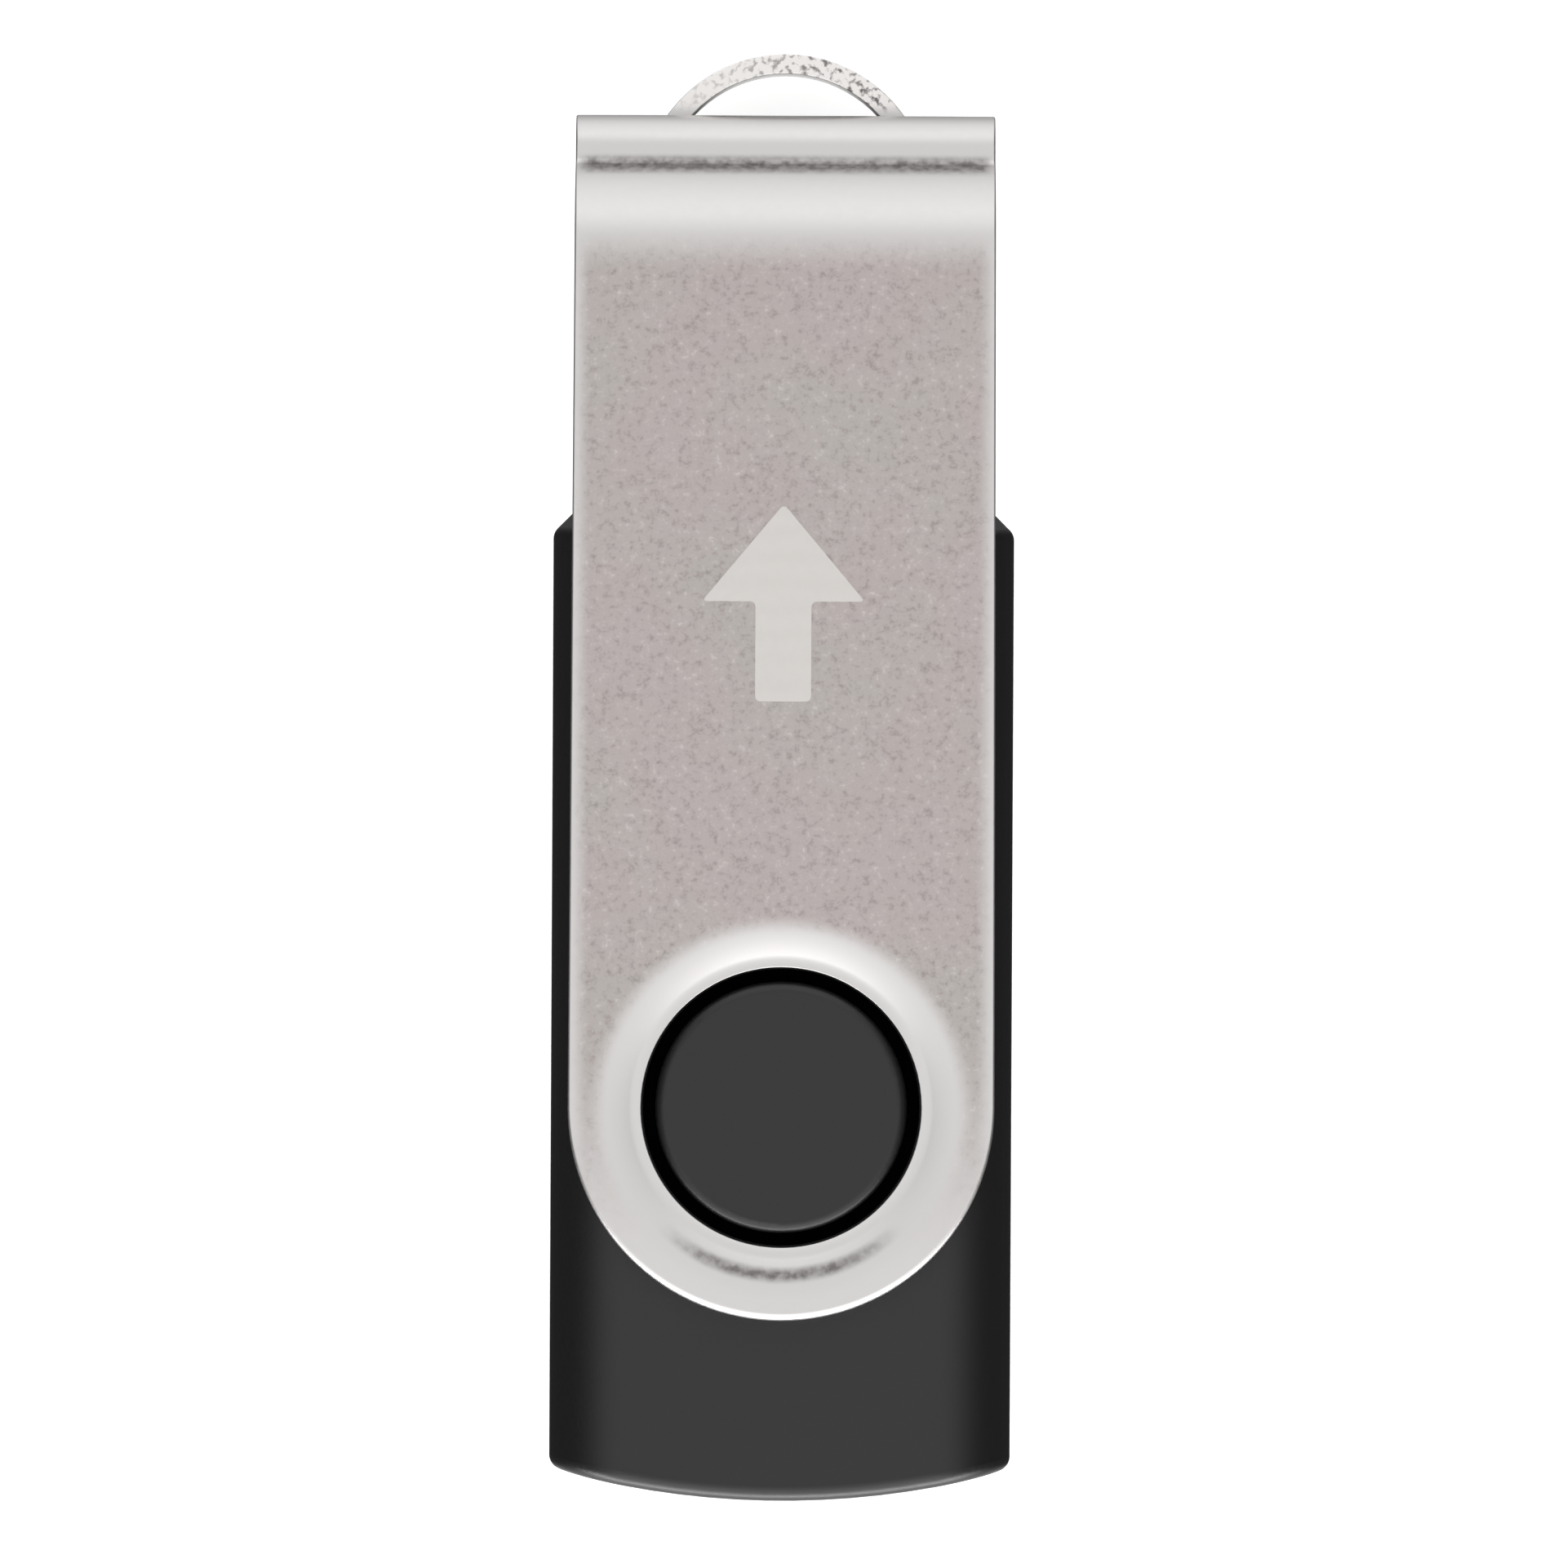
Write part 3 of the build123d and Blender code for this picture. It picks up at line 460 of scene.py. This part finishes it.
def blasted_stainless():
    """Bright and satin in the bends and rims; the blasted plates are greyer, with a fine sandy grain."""
    made, tree, place = new_material("blasted_stainless")
    parts = add(tree, "ShaderNodeSeparateXYZ", {0: place})
    across = add(tree, "ShaderNodeMath", {0: parts.outputs["X"]}, operation="ABSOLUTE")
    along = parts.outputs["Y"]
    flat = add(tree, "ShaderNodeVectorMath", {0: place, 1: (1, 1, 0)}, operation="MULTIPLY")
    radius = add(tree, "ShaderNodeVectorMath", {0: flat}, operation="LENGTH").outputs["Value"]
    # The blasted area, which a mask kept off the rims, the bends and the dish.
    blasted = 1.0
    for value, bare, full in ((across, 8.75, 7.9), (along, 36.2, 34.2), (radius, 7.1, 8.0), (along, -7, 3)):
        edge = {0: value, 1: bare, 2: full}
        edge = add(tree, "ShaderNodeMapRange", edge, interpolation_type="SMOOTHSTEP")
        blasted = add(tree, "ShaderNodeMath", {0: blasted, 1: edge}, operation="MULTIPLY")
    sand = {"Vector": place, "Scale": 1 / BEAD_GRAIN, "Detail": 4.0, "Roughness": 0.65}
    sand = add(tree, "ShaderNodeTexNoise", sand)
    coarse = add(tree, "ShaderNodeTexNoise", {"Vector": place, "Scale": 1 / (3 * BEAD_GRAIN), "Detail": 2.0})
    clouds = add(tree, "ShaderNodeTexNoise", {"Vector": place, "Scale": 1 / 7, "Detail": 2.0})
    clouds = add(tree, "ShaderNodeMapRange", {0: clouds, 1: 0.38, 2: 0.62})
    grey = {0: clouds, 6: linear("#b2aca9"), 7: linear("#b4aaa9")}
    grey = add(tree, "ShaderNodeMix", grey, data_type="RGBA")
    grit = add(tree, "ShaderNodeMapRange", {0: sand, 1: 0.3, 2: 0.48, 3: 0.6, 4: 0.0})
    grey = add(tree, "ShaderNodeMix", {0: grit, 6: grey, 7: linear("#8e8583")}, data_type="RGBA")
    glint = add(tree, "ShaderNodeMapRange", {0: sand, 1: 0.58, 2: 0.74, 3: 0.0, 4: 0.5})
    grey = add(tree, "ShaderNodeMix", {0: glint, 6: grey, 7: linear("#d8d2d0")}, data_type="RGBA")
    tone = add(tree, "ShaderNodeMix", {0: blasted, 6: linear("#cfcdcc"), 7: grey}, data_type="RGBA")
    # Painted shade in the crease of the neck, and in the dish on the side away from the plug a painted dark
    # reflection of the black button; both are partly polishing residue too.
    crease = add(tree, "ShaderNodeMath", {0: along, 1: CREASE_SHADE_PLACE}, operation="SUBTRACT")
    crease = add(tree, "ShaderNodeMath", {0: crease}, operation="ABSOLUTE")
    crease = add(tree, "ShaderNodeMapRange", {0: crease, 1: 0.5, 2: 0.1}, interpolation_type="SMOOTHSTEP")
    inset = add(tree, "ShaderNodeMapRange", {0: across, 1: 8.55, 2: 8.1})
    crease = add(tree, "ShaderNodeMath", {0: crease, 1: inset}, operation="MULTIPLY")
    ring = add(tree, "ShaderNodeMath", {0: radius, 1: DISH_SHADE_RADIUS}, operation="SUBTRACT")
    ring = add(tree, "ShaderNodeMath", {0: ring}, operation="ABSOLUTE")
    ring = add(tree, "ShaderNodeMapRange", {0: ring, 1: 0.42, 2: 0.05}, interpolation_type="SMOOTHSTEP")
    turned = add(tree, "ShaderNodeMath", {0: along, 1: radius}, operation="DIVIDE")
    turned = add(tree, "ShaderNodeMapRange", {0: turned, 1: -0.68, 2: -0.97}, interpolation_type="SMOOTHSTEP")
    ring = add(tree, "ShaderNodeMath", {0: ring, 1: turned}, operation="MULTIPLY")
    shade_and_residue = add(tree, "ShaderNodeMath", {0: crease, 1: ring}, operation="MAXIMUM")
    blotch = add(tree, "ShaderNodeTexNoise", {"Vector": place, "Scale": 1 / 0.35, "Detail": 3.0})
    blotch = add(tree, "ShaderNodeMapRange", {0: blotch, 1: 0.35, 2: 0.65, 3: 0.6, 4: 1.0})
    shade_and_residue = add(tree, "ShaderNodeMath", {0: shade_and_residue, 1: blotch}, operation="MULTIPLY")
    # The lanced loop was never polished: dark flecks stay on it, most on one side.
    loop = add(tree, "ShaderNodeMapRange", {0: along, 1: CLIP_REACH + 0.1, 2: CLIP_REACH + 0.5})
    cut = add(tree, "ShaderNodeMath", {0: parts.outputs["Z"]}, operation="ABSOLUTE")
    cut = add(tree, "ShaderNodeMapRange", {0: cut, 1: LOOP_WIDTH / 2 - 0.5, 2: LOOP_WIDTH / 2 - 0.1})
    loop = add(tree, "ShaderNodeMath", {0: loop, 1: cut}, operation="MULTIPLY")
    tone = add(tree, "ShaderNodeMix", {0: loop, 6: tone, 7: linear("#e9e6e4")}, data_type="RGBA")
    fleck = add(tree, "ShaderNodeTexNoise", {"Vector": place, "Scale": 1 / 0.3, "Detail": 3.0})
    fleck = add(tree, "ShaderNodeMapRange", {0: fleck, 1: 0.5, 2: 0.64})
    side = add(tree, "ShaderNodeMapRange", {0: parts.outputs["X"], 1: -4.0, 2: 2.0, 3: 0.25, 4: 1.0})
    fleck = add(tree, "ShaderNodeMath", {0: fleck, 1: side}, operation="MULTIPLY")
    fleck = add(tree, "ShaderNodeMath", {0: fleck, 1: loop}, operation="MULTIPLY")
    shade_and_residue = add(tree, "ShaderNodeMath", {0: shade_and_residue, 1: fleck}, operation="MAXIMUM")
    # Darkens the steel with the painted shade and painted dark reflection in the crease and the dish, partly
    # residue, and with the loop's dirt flecks.
    tone = add(tree, "ShaderNodeMix", {0: shade_and_residue, 6: tone, 7: linear("#757170")}, data_type="RGBA")
    rough = add(tree, "ShaderNodeMapRange", {0: sand, 3: 0.36, 4: 0.48})
    relief = add(tree, "ShaderNodeMath", {0: sand, 1: coarse}, operation="ADD")
    depth = add(tree, "ShaderNodeMath", {0: blasted, 1: 0.6}, operation="MULTIPLY")
    relief = add(tree, "ShaderNodeBump", {"Height": relief, "Distance": 0.012 * MM, "Strength": depth})
    shader = {"Base Color": tone, "Metallic": 1.0, "Roughness": rough, "Normal": relief}
    add(tree, "ShaderNodeOutputMaterial", {0: add(tree, "ShaderNodeBsdfPrincipled", shader)})
    return made


clip = new_piece("steel_clip", clip_sheet(), blasted_stainless())
thicken = clip.modifiers.new("sheet", "SOLIDIFY")
thicken.thickness = SHEET * MM
thicken.offset = 0
thicken.use_even_offset = True
thicken.use_quality_normals = True
finished(clip)
straighten_hole(clip.data)
weigh_rims(clip.data)
rims = clip.modifiers.new("tumbled_rims", "BEVEL")
rims.width = RIM_ROUND * MM
rims.segments = 4
rims.limit_method = "WEIGHT"
rims.use_clamp_overlap = False
rims.harden_normals = True
finished(clip)
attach(clip, "swivel")
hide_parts("swivel_clip")


# ---- Etched arrow ---------------------------------------------------------------------------------
# A plain arrow, marked on the front plate by laser and pointing the way the plug goes in. The beam
# leaves a thin frosted skin that looks almost white beside the blasted steel.
ARROW_PLACE = (0.0, 20.7)
ARROW_LENGTH = 8.1
ARROW_HEAD = 4.0
ARROW_HEAD_WIDTH = 6.7
ARROW_STEM_WIDTH = 2.3
ARROW_ROUND = 0.25
ETCH_SKIN = 0.02


def etched_steel():
    """Frosted white with a very fine raster from the beam, drawn at 0.15 mm so that it shows."""
    made, tree, place = new_material("etched_steel")
    raster = {"Vector": place, "Scale": 0.3, "Distortion": 1.5}
    raster = add(tree, "ShaderNodeTexWave", raster, bands_direction="Y")
    frost = add(tree, "ShaderNodeTexNoise", {"Vector": place, "Scale": 1 / 0.5, "Detail": 3.0})
    tone = {0: frost, 6: linear("#c6c2bf"), 7: linear("#cbc7c4")}
    tone = add(tree, "ShaderNodeMix", tone, data_type="RGBA")
    rough = add(tree, "ShaderNodeMapRange", {0: raster.outputs["Fac"], 3: 0.6, 4: 0.68})
    relief = add(tree, "ShaderNodeBump", {"Height": frost, "Distance": 0.004 * MM, "Strength": 0.5})
    shader = {"Base Color": tone, "Metallic": 0.35, "Roughness": rough, "Normal": relief}
    add(tree, "ShaderNodeOutputMaterial", {0: add(tree, "ShaderNodeBsdfPrincipled", shader)})
    return made


def rounded(corners, radius, steps=5):
    """Outline with each corner replaced by a short curve."""
    points = []
    for before, corner, after in zip(corners[-1:] + corners[:-1], corners, corners[1:] + corners[:1]):
        first = corner + (before - corner).normalized() * radius
        last = corner + (after - corner).normalized() * radius
        for i in range(steps + 1):
            t = i / steps
            points.append(first * (1 - t) ** 2 + corner * 2 * t * (1 - t) + last * t**2)
    return points


half_stem = ARROW_STEM_WIDTH / 2
half_head = ARROW_HEAD_WIDTH / 2
low = ARROW_PLACE[1] - ARROW_LENGTH / 2
tip = ARROW_PLACE[1] + ARROW_LENGTH / 2
neck = tip - ARROW_HEAD
right_side = [(half_stem, low), (half_stem, neck), (half_head, neck)]
left_side = [(-x, y) for x, y in reversed(right_side)]
arrow_corners = [Vector((x, y)) for x, y in right_side + [(0, tip)] + left_side]
arrow_shape = bmesh.new()
plate_top = PLATE_MIDDLE + SHEET / 2
arrow_outline = rounded(arrow_corners, ARROW_ROUND)
arrow_base = [(ARROW_PLACE[0] + point.x, point.y, plate_top - ETCH_SKIN) for point in arrow_outline]
arrow_face = arrow_shape.faces.new([arrow_shape.verts.new(point) for point in arrow_base])
raised = bmesh.ops.extrude_face_region(arrow_shape, geom=[arrow_face])
for vertex in raised["geom"]:
    if isinstance(vertex, bmesh.types.BMVert):
        vertex.co.z = plate_top + ETCH_SKIN
bmesh.ops.recalc_face_normals(arrow_shape, faces=arrow_shape.faces)
arrow = new_piece("etched_arrow", arrow_shape, etched_steel())
for polygon in arrow.data.polygons:
    polygon.use_smooth = False
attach(arrow, "swivel")


# ---- Plug shell -----------------------------------------------------------------------------------
# The USB plug's outer shell: steel strip, stamped with its windows and folded into a box, then nickel
# plated. It is bright, with faint lines along it from the folding tool.
DRAW_LINE = 0.12


def plated_nickel():
    """Bright, slightly warm metal with long fine lines and a few soft smears."""
    made, tree, place = new_material("plated_nickel")
    stretched = add(tree, "ShaderNodeMapping", {0: place, 3: (1, 0.03, 1)})
    lines = add(tree, "ShaderNodeTexNoise", {"Vector": stretched, "Scale": 1 / DRAW_LINE, "Detail": 3.0})
    smear = add(tree, "ShaderNodeTexNoise", {"Vector": place, "Scale": 1 / 4, "Detail": 2.0})
    tone = {0: smear, 6: linear("#cfccc6"), 7: linear("#dad8d3")}
    tone = add(tree, "ShaderNodeMix", tone, data_type="RGBA")
    rough = add(tree, "ShaderNodeMapRange", {0: lines, 3: 0.17, 4: 0.33})
    relief = add(tree, "ShaderNodeBump", {"Height": lines, "Distance": 0.004 * MM, "Strength": 0.4})
    shader = {"Base Color": tone, "Metallic": 1.0, "Roughness": rough, "Normal": relief}
    add(tree, "ShaderNodeOutputMaterial", {0: add(tree, "ShaderNodeBsdfPrincipled", shader)})
    return made


dress(plated_nickel(), "plug_shell")


# ---- Plug insulator -------------------------------------------------------------------------------
# The tongue that carries the contacts, injection moulded in white PBT with glass fibre. Faint swirls of
# fibre show in its satin skin.
def moulded_white_pbt():
    """Off-white and slightly translucent, with a satin gloss."""
    made, tree, place = new_material("moulded_white_pbt")
    swirl = {"Vector": place, "Scale": 1 / 1.2, "Detail": 4.0, "Distortion": 1.2}
    swirl = add(tree, "ShaderNodeTexNoise", swirl)
    skin = add(tree, "ShaderNodeTexNoise", {"Vector": place, "Scale": 1 / 0.1, "Detail": 2.0})
    tone = {0: swirl, 6: linear("#e2e1da"), 7: linear("#eeede8")}
    tone = add(tree, "ShaderNodeMix", tone, data_type="RGBA")
    rough = add(tree, "ShaderNodeMapRange", {0: skin, 3: 0.38, 4: 0.5})
    relief = add(tree, "ShaderNodeBump", {"Height": skin, "Distance": 0.005 * MM, "Strength": 0.3})
    shader = {"Base Color": tone, "Roughness": rough, "IOR": 1.55, "Normal": relief}
    shader.update({"Subsurface Weight": 0.08, "Subsurface Scale": 0.4 * MM})
    add(tree, "ShaderNodeOutputMaterial", {0: add(tree, "ShaderNodeBsdfPrincipled", shader)})
    return made


dress(moulded_white_pbt(), "plug_insulator")


# ---- Contacts -------------------------------------------------------------------------------------
# Four phosphor bronze strips, stamped and sprung, with a flash of gold over nickel. The sockets that they
# have met leave fine rubbed lines along them.
def flashed_gold():
    """Warm yellow metal, satin, with finer gloss where it is rubbed."""
    made, tree, place = new_material("flashed_gold")
    stretched = add(tree, "ShaderNodeMapping", {0: place, 3: (1, 0.05, 1)})
    rub = add(tree, "ShaderNodeTexNoise", {"Vector": stretched, "Scale": 1 / 0.15, "Detail": 3.0})
    tone = {0: rub, 6: linear("#d9a441"), 7: linear("#e8bf62")}
    tone = add(tree, "ShaderNodeMix", tone, data_type="RGBA")
    rough = add(tree, "ShaderNodeMapRange", {0: rub, 3: 0.3, 4: 0.16})
    relief = add(tree, "ShaderNodeBump", {"Height": rub, "Distance": 0.003 * MM, "Strength": 0.4})
    shader = {"Base Color": tone, "Metallic": 1.0, "Roughness": rough, "Normal": relief}
    add(tree, "ShaderNodeOutputMaterial", {0: add(tree, "ShaderNodeBsdfPrincipled", shader)})
    return made


dress(flashed_gold(), "contact_vbus", "contact_data_minus", "contact_data_plus", "contact_ground")


# ---- Circuit board --------------------------------------------------------------------------------
# Glass epoxy laminate, etched with copper tracks, coated with green solder mask on both faces and routed
# to shape. The cut edges are bare laminate.
TRACK_PITCH = 0.9
TRACK_WIDTH = 0.25


def faces_not_edges(tree):
    """One on the flat faces, which look up or down, and nought on the cut edges."""
    facing = add(tree, "ShaderNodeNewGeometry").outputs["True Normal"]
    facing = add(tree, "ShaderNodeSeparateXYZ", {0: facing}).outputs["Z"]
    facing = add(tree, "ShaderNodeMath", {0: facing}, operation="ABSOLUTE")
    return add(tree, "ShaderNodeMath", {0: facing, 1: 0.5}, operation="GREATER_THAN")


def masked_laminate():
    """Glossy green over tracks that show as lighter lines; straw-coloured cut edges with a glass weave."""
    made, tree, place = new_material("masked_laminate")
    bent = add(tree, "ShaderNodeTexNoise", {"Vector": place, "Scale": 1 / 9, "Detail": 0.0})
    bent = add(tree, "ShaderNodeVectorMath", {0: bent.outputs["Color"], "Scale": 5.0}, operation="SCALE")
    routed = add(tree, "ShaderNodeVectorMath", {0: bent, 1: [TRACK_PITCH] * 3}, operation="SNAP")
    routed = add(tree, "ShaderNodeVectorMath", {0: place, 1: routed}, operation="ADD")
    lanes = add(tree, "ShaderNodeSeparateXYZ", {0: routed}).outputs["X"]
    lanes = add(tree, "ShaderNodeMath", {0: lanes, 1: TRACK_PITCH / 2}, operation="PINGPONG")
    edges = {0: lanes, 1: TRACK_WIDTH / 2 + 0.03, 2: TRACK_WIDTH / 2 - 0.03}
    tracks = add(tree, "ShaderNodeMapRange", edges, interpolation_type="SMOOTHSTEP")
    green = {0: tracks, 6: linear("#0d4a26"), 7: linear("#1c6b3a")}
    green = add(tree, "ShaderNodeMix", green, data_type="RGBA")
    weave = add(tree, "ShaderNodeTexNoise", {"Vector": place, "Scale": 1 / 0.2, "Detail": 2.0})
    straw = {0: weave, 6: linear("#9c9360"), 7: linear("#c2ba88")}
    straw = add(tree, "ShaderNodeMix", straw, data_type="RGBA")
    facing = faces_not_edges(tree)
    tone = add(tree, "ShaderNodeMix", {0: facing, 6: straw, 7: green}, data_type="RGBA")
    rough = add(tree, "ShaderNodeMapRange", {0: facing, 3: 0.7, 4: 0.22})
    relief = add(tree, "ShaderNodeBump", {"Height": tracks, "Distance": 0.035 * MM, "Strength": 0.8})
    shader = {"Base Color": tone, "Roughness": rough, "IOR": 1.52, "Normal": relief}
    add(tree, "ShaderNodeOutputMaterial", {0: add(tree, "ShaderNodeBsdfPrincipled", shader)})
    return made


dress(masked_laminate(), "circuit_board")


# ---- Solder ---------------------------------------------------------------------------------------
# Fillets of lead-free solder that hold the contacts and the shell's tabs on the board. Each froze from a
# melt, so it is bright with a faintly crazed skin.
def frozen_solder():
    """Silvery metal, glossy, with shallow dendrites."""
    made, tree, place = new_material("frozen_solder")
    skin = add(tree, "ShaderNodeTexVoronoi", {"Vector": place, "Scale": 1 / 0.25}, feature="SMOOTH_F1")
    tone = {0: skin.outputs["Distance"], 6: linear("#c4c5c6"), 7: linear("#d6d6d4")}
    tone = add(tree, "ShaderNodeMix", tone, data_type="RGBA")
    rough = add(tree, "ShaderNodeMapRange", {0: skin.outputs["Distance"], 3: 0.2, 4: 0.38})
    relief = {"Height": skin.outputs["Distance"], "Distance": 0.01 * MM, "Strength": 0.5}
    relief = add(tree, "ShaderNodeBump", relief)
    shader = {"Base Color": tone, "Metallic": 1.0, "Roughness": rough, "Normal": relief}
    add(tree, "ShaderNodeOutputMaterial", {0: add(tree, "ShaderNodeBsdfPrincipled", shader)})
    return made


dress(frozen_solder(), "contact_solder", "tab_solder")


# ---- Chips ----------------------------------------------------------------------------------------
# The memory and its controller, each moulded in black epoxy filled with silica. A polished dimple in
# one corner of the top marks the first lead.
DIMPLE_RADIUS = 0.45
DIMPLE_INSET = 1.0


def moulded_epoxy():
    """Charcoal grey and matt with a mineral grain; the two dimples are smooth."""
    made, tree, place = new_material("moulded_epoxy")
    silica = add(tree, "ShaderNodeTexNoise", {"Vector": place, "Scale": 1 / 0.08, "Detail": 3.0})
    tone = {0: silica, 6: linear("#1b1b1d"), 7: linear("#29292b")}
    tone = add(tree, "ShaderNodeMix", tone, data_type="RGBA")
    rough = add(tree, "ShaderNodeMapRange", {0: silica, 3: 0.55, 4: 0.7})
    flat = add(tree, "ShaderNodeVectorMath", {0: place, 1: (1, 1, 0)}, operation="MULTIPLY")
    for node in ("memory_chip", "controller_chip"):
        corner = (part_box(node)[0] - PIVOT) / MM
        centre = (corner.x + DIMPLE_INSET, corner.y + DIMPLE_INSET, 0)
        away = add(tree, "ShaderNodeVectorMath", {0: flat, 1: centre}, operation="DISTANCE")
        edges = {0: away.outputs["Value"], 1: DIMPLE_RADIUS - 0.03, 2: DIMPLE_RADIUS + 0.03, 3: 0.28, 4: 1.0}
        smooth = add(tree, "ShaderNodeMapRange", edges)
        rough = add(tree, "ShaderNodeMath", {0: rough, 1: smooth}, operation="MINIMUM")
    relief = add(tree, "ShaderNodeBump", {"Height": silica, "Distance": 0.01 * MM, "Strength": 0.4})
    shader = {"Base Color": tone, "Roughness": rough, "IOR": 1.55, "Normal": relief}
    add(tree, "ShaderNodeOutputMaterial", {0: add(tree, "ShaderNodeBsdfPrincipled", shader)})
    return made


dress(moulded_epoxy(), "memory_chip", "controller_chip")


# ---- Leads and end caps ---------------------------------------------------------------------------
# Stamped copper leads of the chips, and the fired end caps of the capacitors and resistors, all plated
# with matt tin so that solder wets them.
def matt_tin():
    """Pale grey metal, dull, with a fine crystalline skin."""
    made, tree, place = new_material("matt_tin")
    crystals = add(tree, "ShaderNodeTexVoronoi", {"Vector": place, "Scale": 1 / 0.06})
    tone = {0: crystals.outputs["Distance"], 6: linear("#b4b5b6"), 7: linear("#cbcac8")}
    tone = add(tree, "ShaderNodeMix", tone, data_type="RGBA")
    rough = add(tree, "ShaderNodeMapRange", {0: crystals.outputs["Distance"], 3: 0.36, 4: 0.52})
    relief = {"Height": crystals.outputs["Distance"], "Distance": 0.004 * MM, "Strength": 0.4}
    relief = add(tree, "ShaderNodeBump", relief)
    shader = {"Base Color": tone, "Metallic": 1.0, "Roughness": rough, "Normal": relief}
    add(tree, "ShaderNodeOutputMaterial", {0: add(tree, "ShaderNodeBsdfPrincipled", shader)})
    return made


dress(matt_tin(), "memory_chip_leads", "controller_chip_leads", "capacitor_terminals", "resistor_terminals")


# ---- Crystal --------------------------------------------------------------------------------------
# The quartz crystal's package: a fired alumina tray, which the light's base is made of too, and a lid of
# nickel-iron sheet welded on its rim.
def fired_alumina():
    """Dull warm white with a chalky grain."""
    made, tree, place = new_material("fired_alumina")
    chalk = add(tree, "ShaderNodeTexNoise", {"Vector": place, "Scale": 1 / 0.1, "Detail": 3.0})
    tone = {0: chalk, 6: linear("#cfc8b8"), 7: linear("#e2ddd0")}
    tone = add(tree, "ShaderNodeMix", tone, data_type="RGBA")
    rough = add(tree, "ShaderNodeMapRange", {0: chalk, 3: 0.6, 4: 0.75})
    relief = add(tree, "ShaderNodeBump", {"Height": chalk, "Distance": 0.006 * MM, "Strength": 0.4})
    shader = {"Base Color": tone, "Roughness": rough, "IOR": 1.76, "Normal": relief}
    add(tree, "ShaderNodeOutputMaterial", {0: add(tree, "ShaderNodeBsdfPrincipled", shader)})
    return made


def rolled_nickel_iron():
    """Grey metal with fine rolling lines one way."""
    made, tree, place = new_material("rolled_nickel_iron")
    stretched = add(tree, "ShaderNodeMapping", {0: place, 3: (1, 0.04, 1)})
    lines = add(tree, "ShaderNodeTexNoise", {"Vector": stretched, "Scale": 1 / 0.07, "Detail": 3.0})
    tone = {0: lines, 6: linear("#aeaba4"), 7: linear("#c6c3bc")}
    tone = add(tree, "ShaderNodeMix", tone, data_type="RGBA")
    rough = add(tree, "ShaderNodeMapRange", {0: lines, 3: 0.24, 4: 0.4})
    relief = add(tree, "ShaderNodeBump", {"Height": lines, "Distance": 0.004 * MM, "Strength": 0.5})
    shader = {"Base Color": tone, "Metallic": 1.0, "Roughness": rough, "Normal": relief}
    add(tree, "ShaderNodeOutputMaterial", {0: add(tree, "ShaderNodeBsdfPrincipled", shader)})
    return made


dress(fired_alumina(), "crystal_base", "led_base")
dress(rolled_nickel_iron(), "crystal_lid")


# ---- Capacitors -----------------------------------------------------------------------------------
# Bare blocks of barium titanate ceramic, tape cast in layers and fired.
def fired_titanate():
    """Biscuit brown and matt, with a fine fired grain."""
    made, tree, place = new_material("fired_titanate")
    fired = add(tree, "ShaderNodeTexNoise", {"Vector": place, "Scale": 1 / 0.08, "Detail": 3.0})
    tone = {0: fired, 6: linear("#8a6f50"), 7: linear("#a98b66")}
    tone = add(tree, "ShaderNodeMix", tone, data_type="RGBA")
    rough = add(tree, "ShaderNodeMapRange", {0: fired, 3: 0.5, 4: 0.65})
    relief = add(tree, "ShaderNodeBump", {"Height": fired, "Distance": 0.005 * MM, "Strength": 0.4})
    shader = {"Base Color": tone, "Roughness": rough, "IOR": 1.9, "Normal": relief}
    add(tree, "ShaderNodeOutputMaterial", {0: add(tree, "ShaderNodeBsdfPrincipled", shader)})
    return made


dress(fired_titanate(), "capacitor_bodies")


# ---- Resistors ------------------------------------------------------------------------------------
# White alumina slips with a film of resistor printed on one face, under a coat of black glass.
def glazed_alumina():
    """Glossy black face with an orange-peel ripple; the bare sides are chalky white."""
    made, tree, place = new_material("glazed_alumina")
    ripple = add(tree, "ShaderNodeTexNoise", {"Vector": place, "Scale": 1 / 0.3, "Detail": 1.0})
    facing = faces_not_edges(tree)
    tone = {0: facing, 6: linear("#dcd8cc"), 7: linear("#101012")}
    tone = add(tree, "ShaderNodeMix", tone, data_type="RGBA")
    rough = add(tree, "ShaderNodeMapRange", {0: facing, 3: 0.65, 4: 0.18})
    relief = add(tree, "ShaderNodeBump", {"Height": ripple, "Distance": 0.01 * MM, "Strength": 0.4})
    shader = {"Base Color": tone, "Roughness": rough, "IOR": 1.6, "Normal": relief}
    add(tree, "ShaderNodeOutputMaterial", {0: add(tree, "ShaderNodeBsdfPrincipled", shader)})
    return made


dress(glazed_alumina(), "resistor_bodies")


# ---- Activity light -------------------------------------------------------------------------------
# The small light on the board, cast in water-clear epoxy with a trace of phosphor.
def cast_epoxy():
    """Clear, faintly yellow and glossy."""
    made, tree, place = new_material("cast_epoxy")
    haze = add(tree, "ShaderNodeTexNoise", {"Vector": place, "Scale": 1 / 0.4, "Detail": 2.0})
    tone = {0: haze, 6: linear("#efe9c8"), 7: linear("#f7f4e2")}
    tone = add(tree, "ShaderNodeMix", tone, data_type="RGBA")
    rough = add(tree, "ShaderNodeMapRange", {0: haze, 3: 0.06, 4: 0.16})
    shader = {"Base Color": tone, "Roughness": rough, "IOR": 1.52, "Transmission Weight": 0.7}
    add(tree, "ShaderNodeOutputMaterial", {0: add(tree, "ShaderNodeBsdfPrincipled", shader)})
    return made


dress(cast_epoxy(), "led_lens")


# ---- End of the scene -----------------------------------------------------------------------------
# Colours go to the picture as they are.
bpy.context.scene.view_settings.view_transform = "Standard"
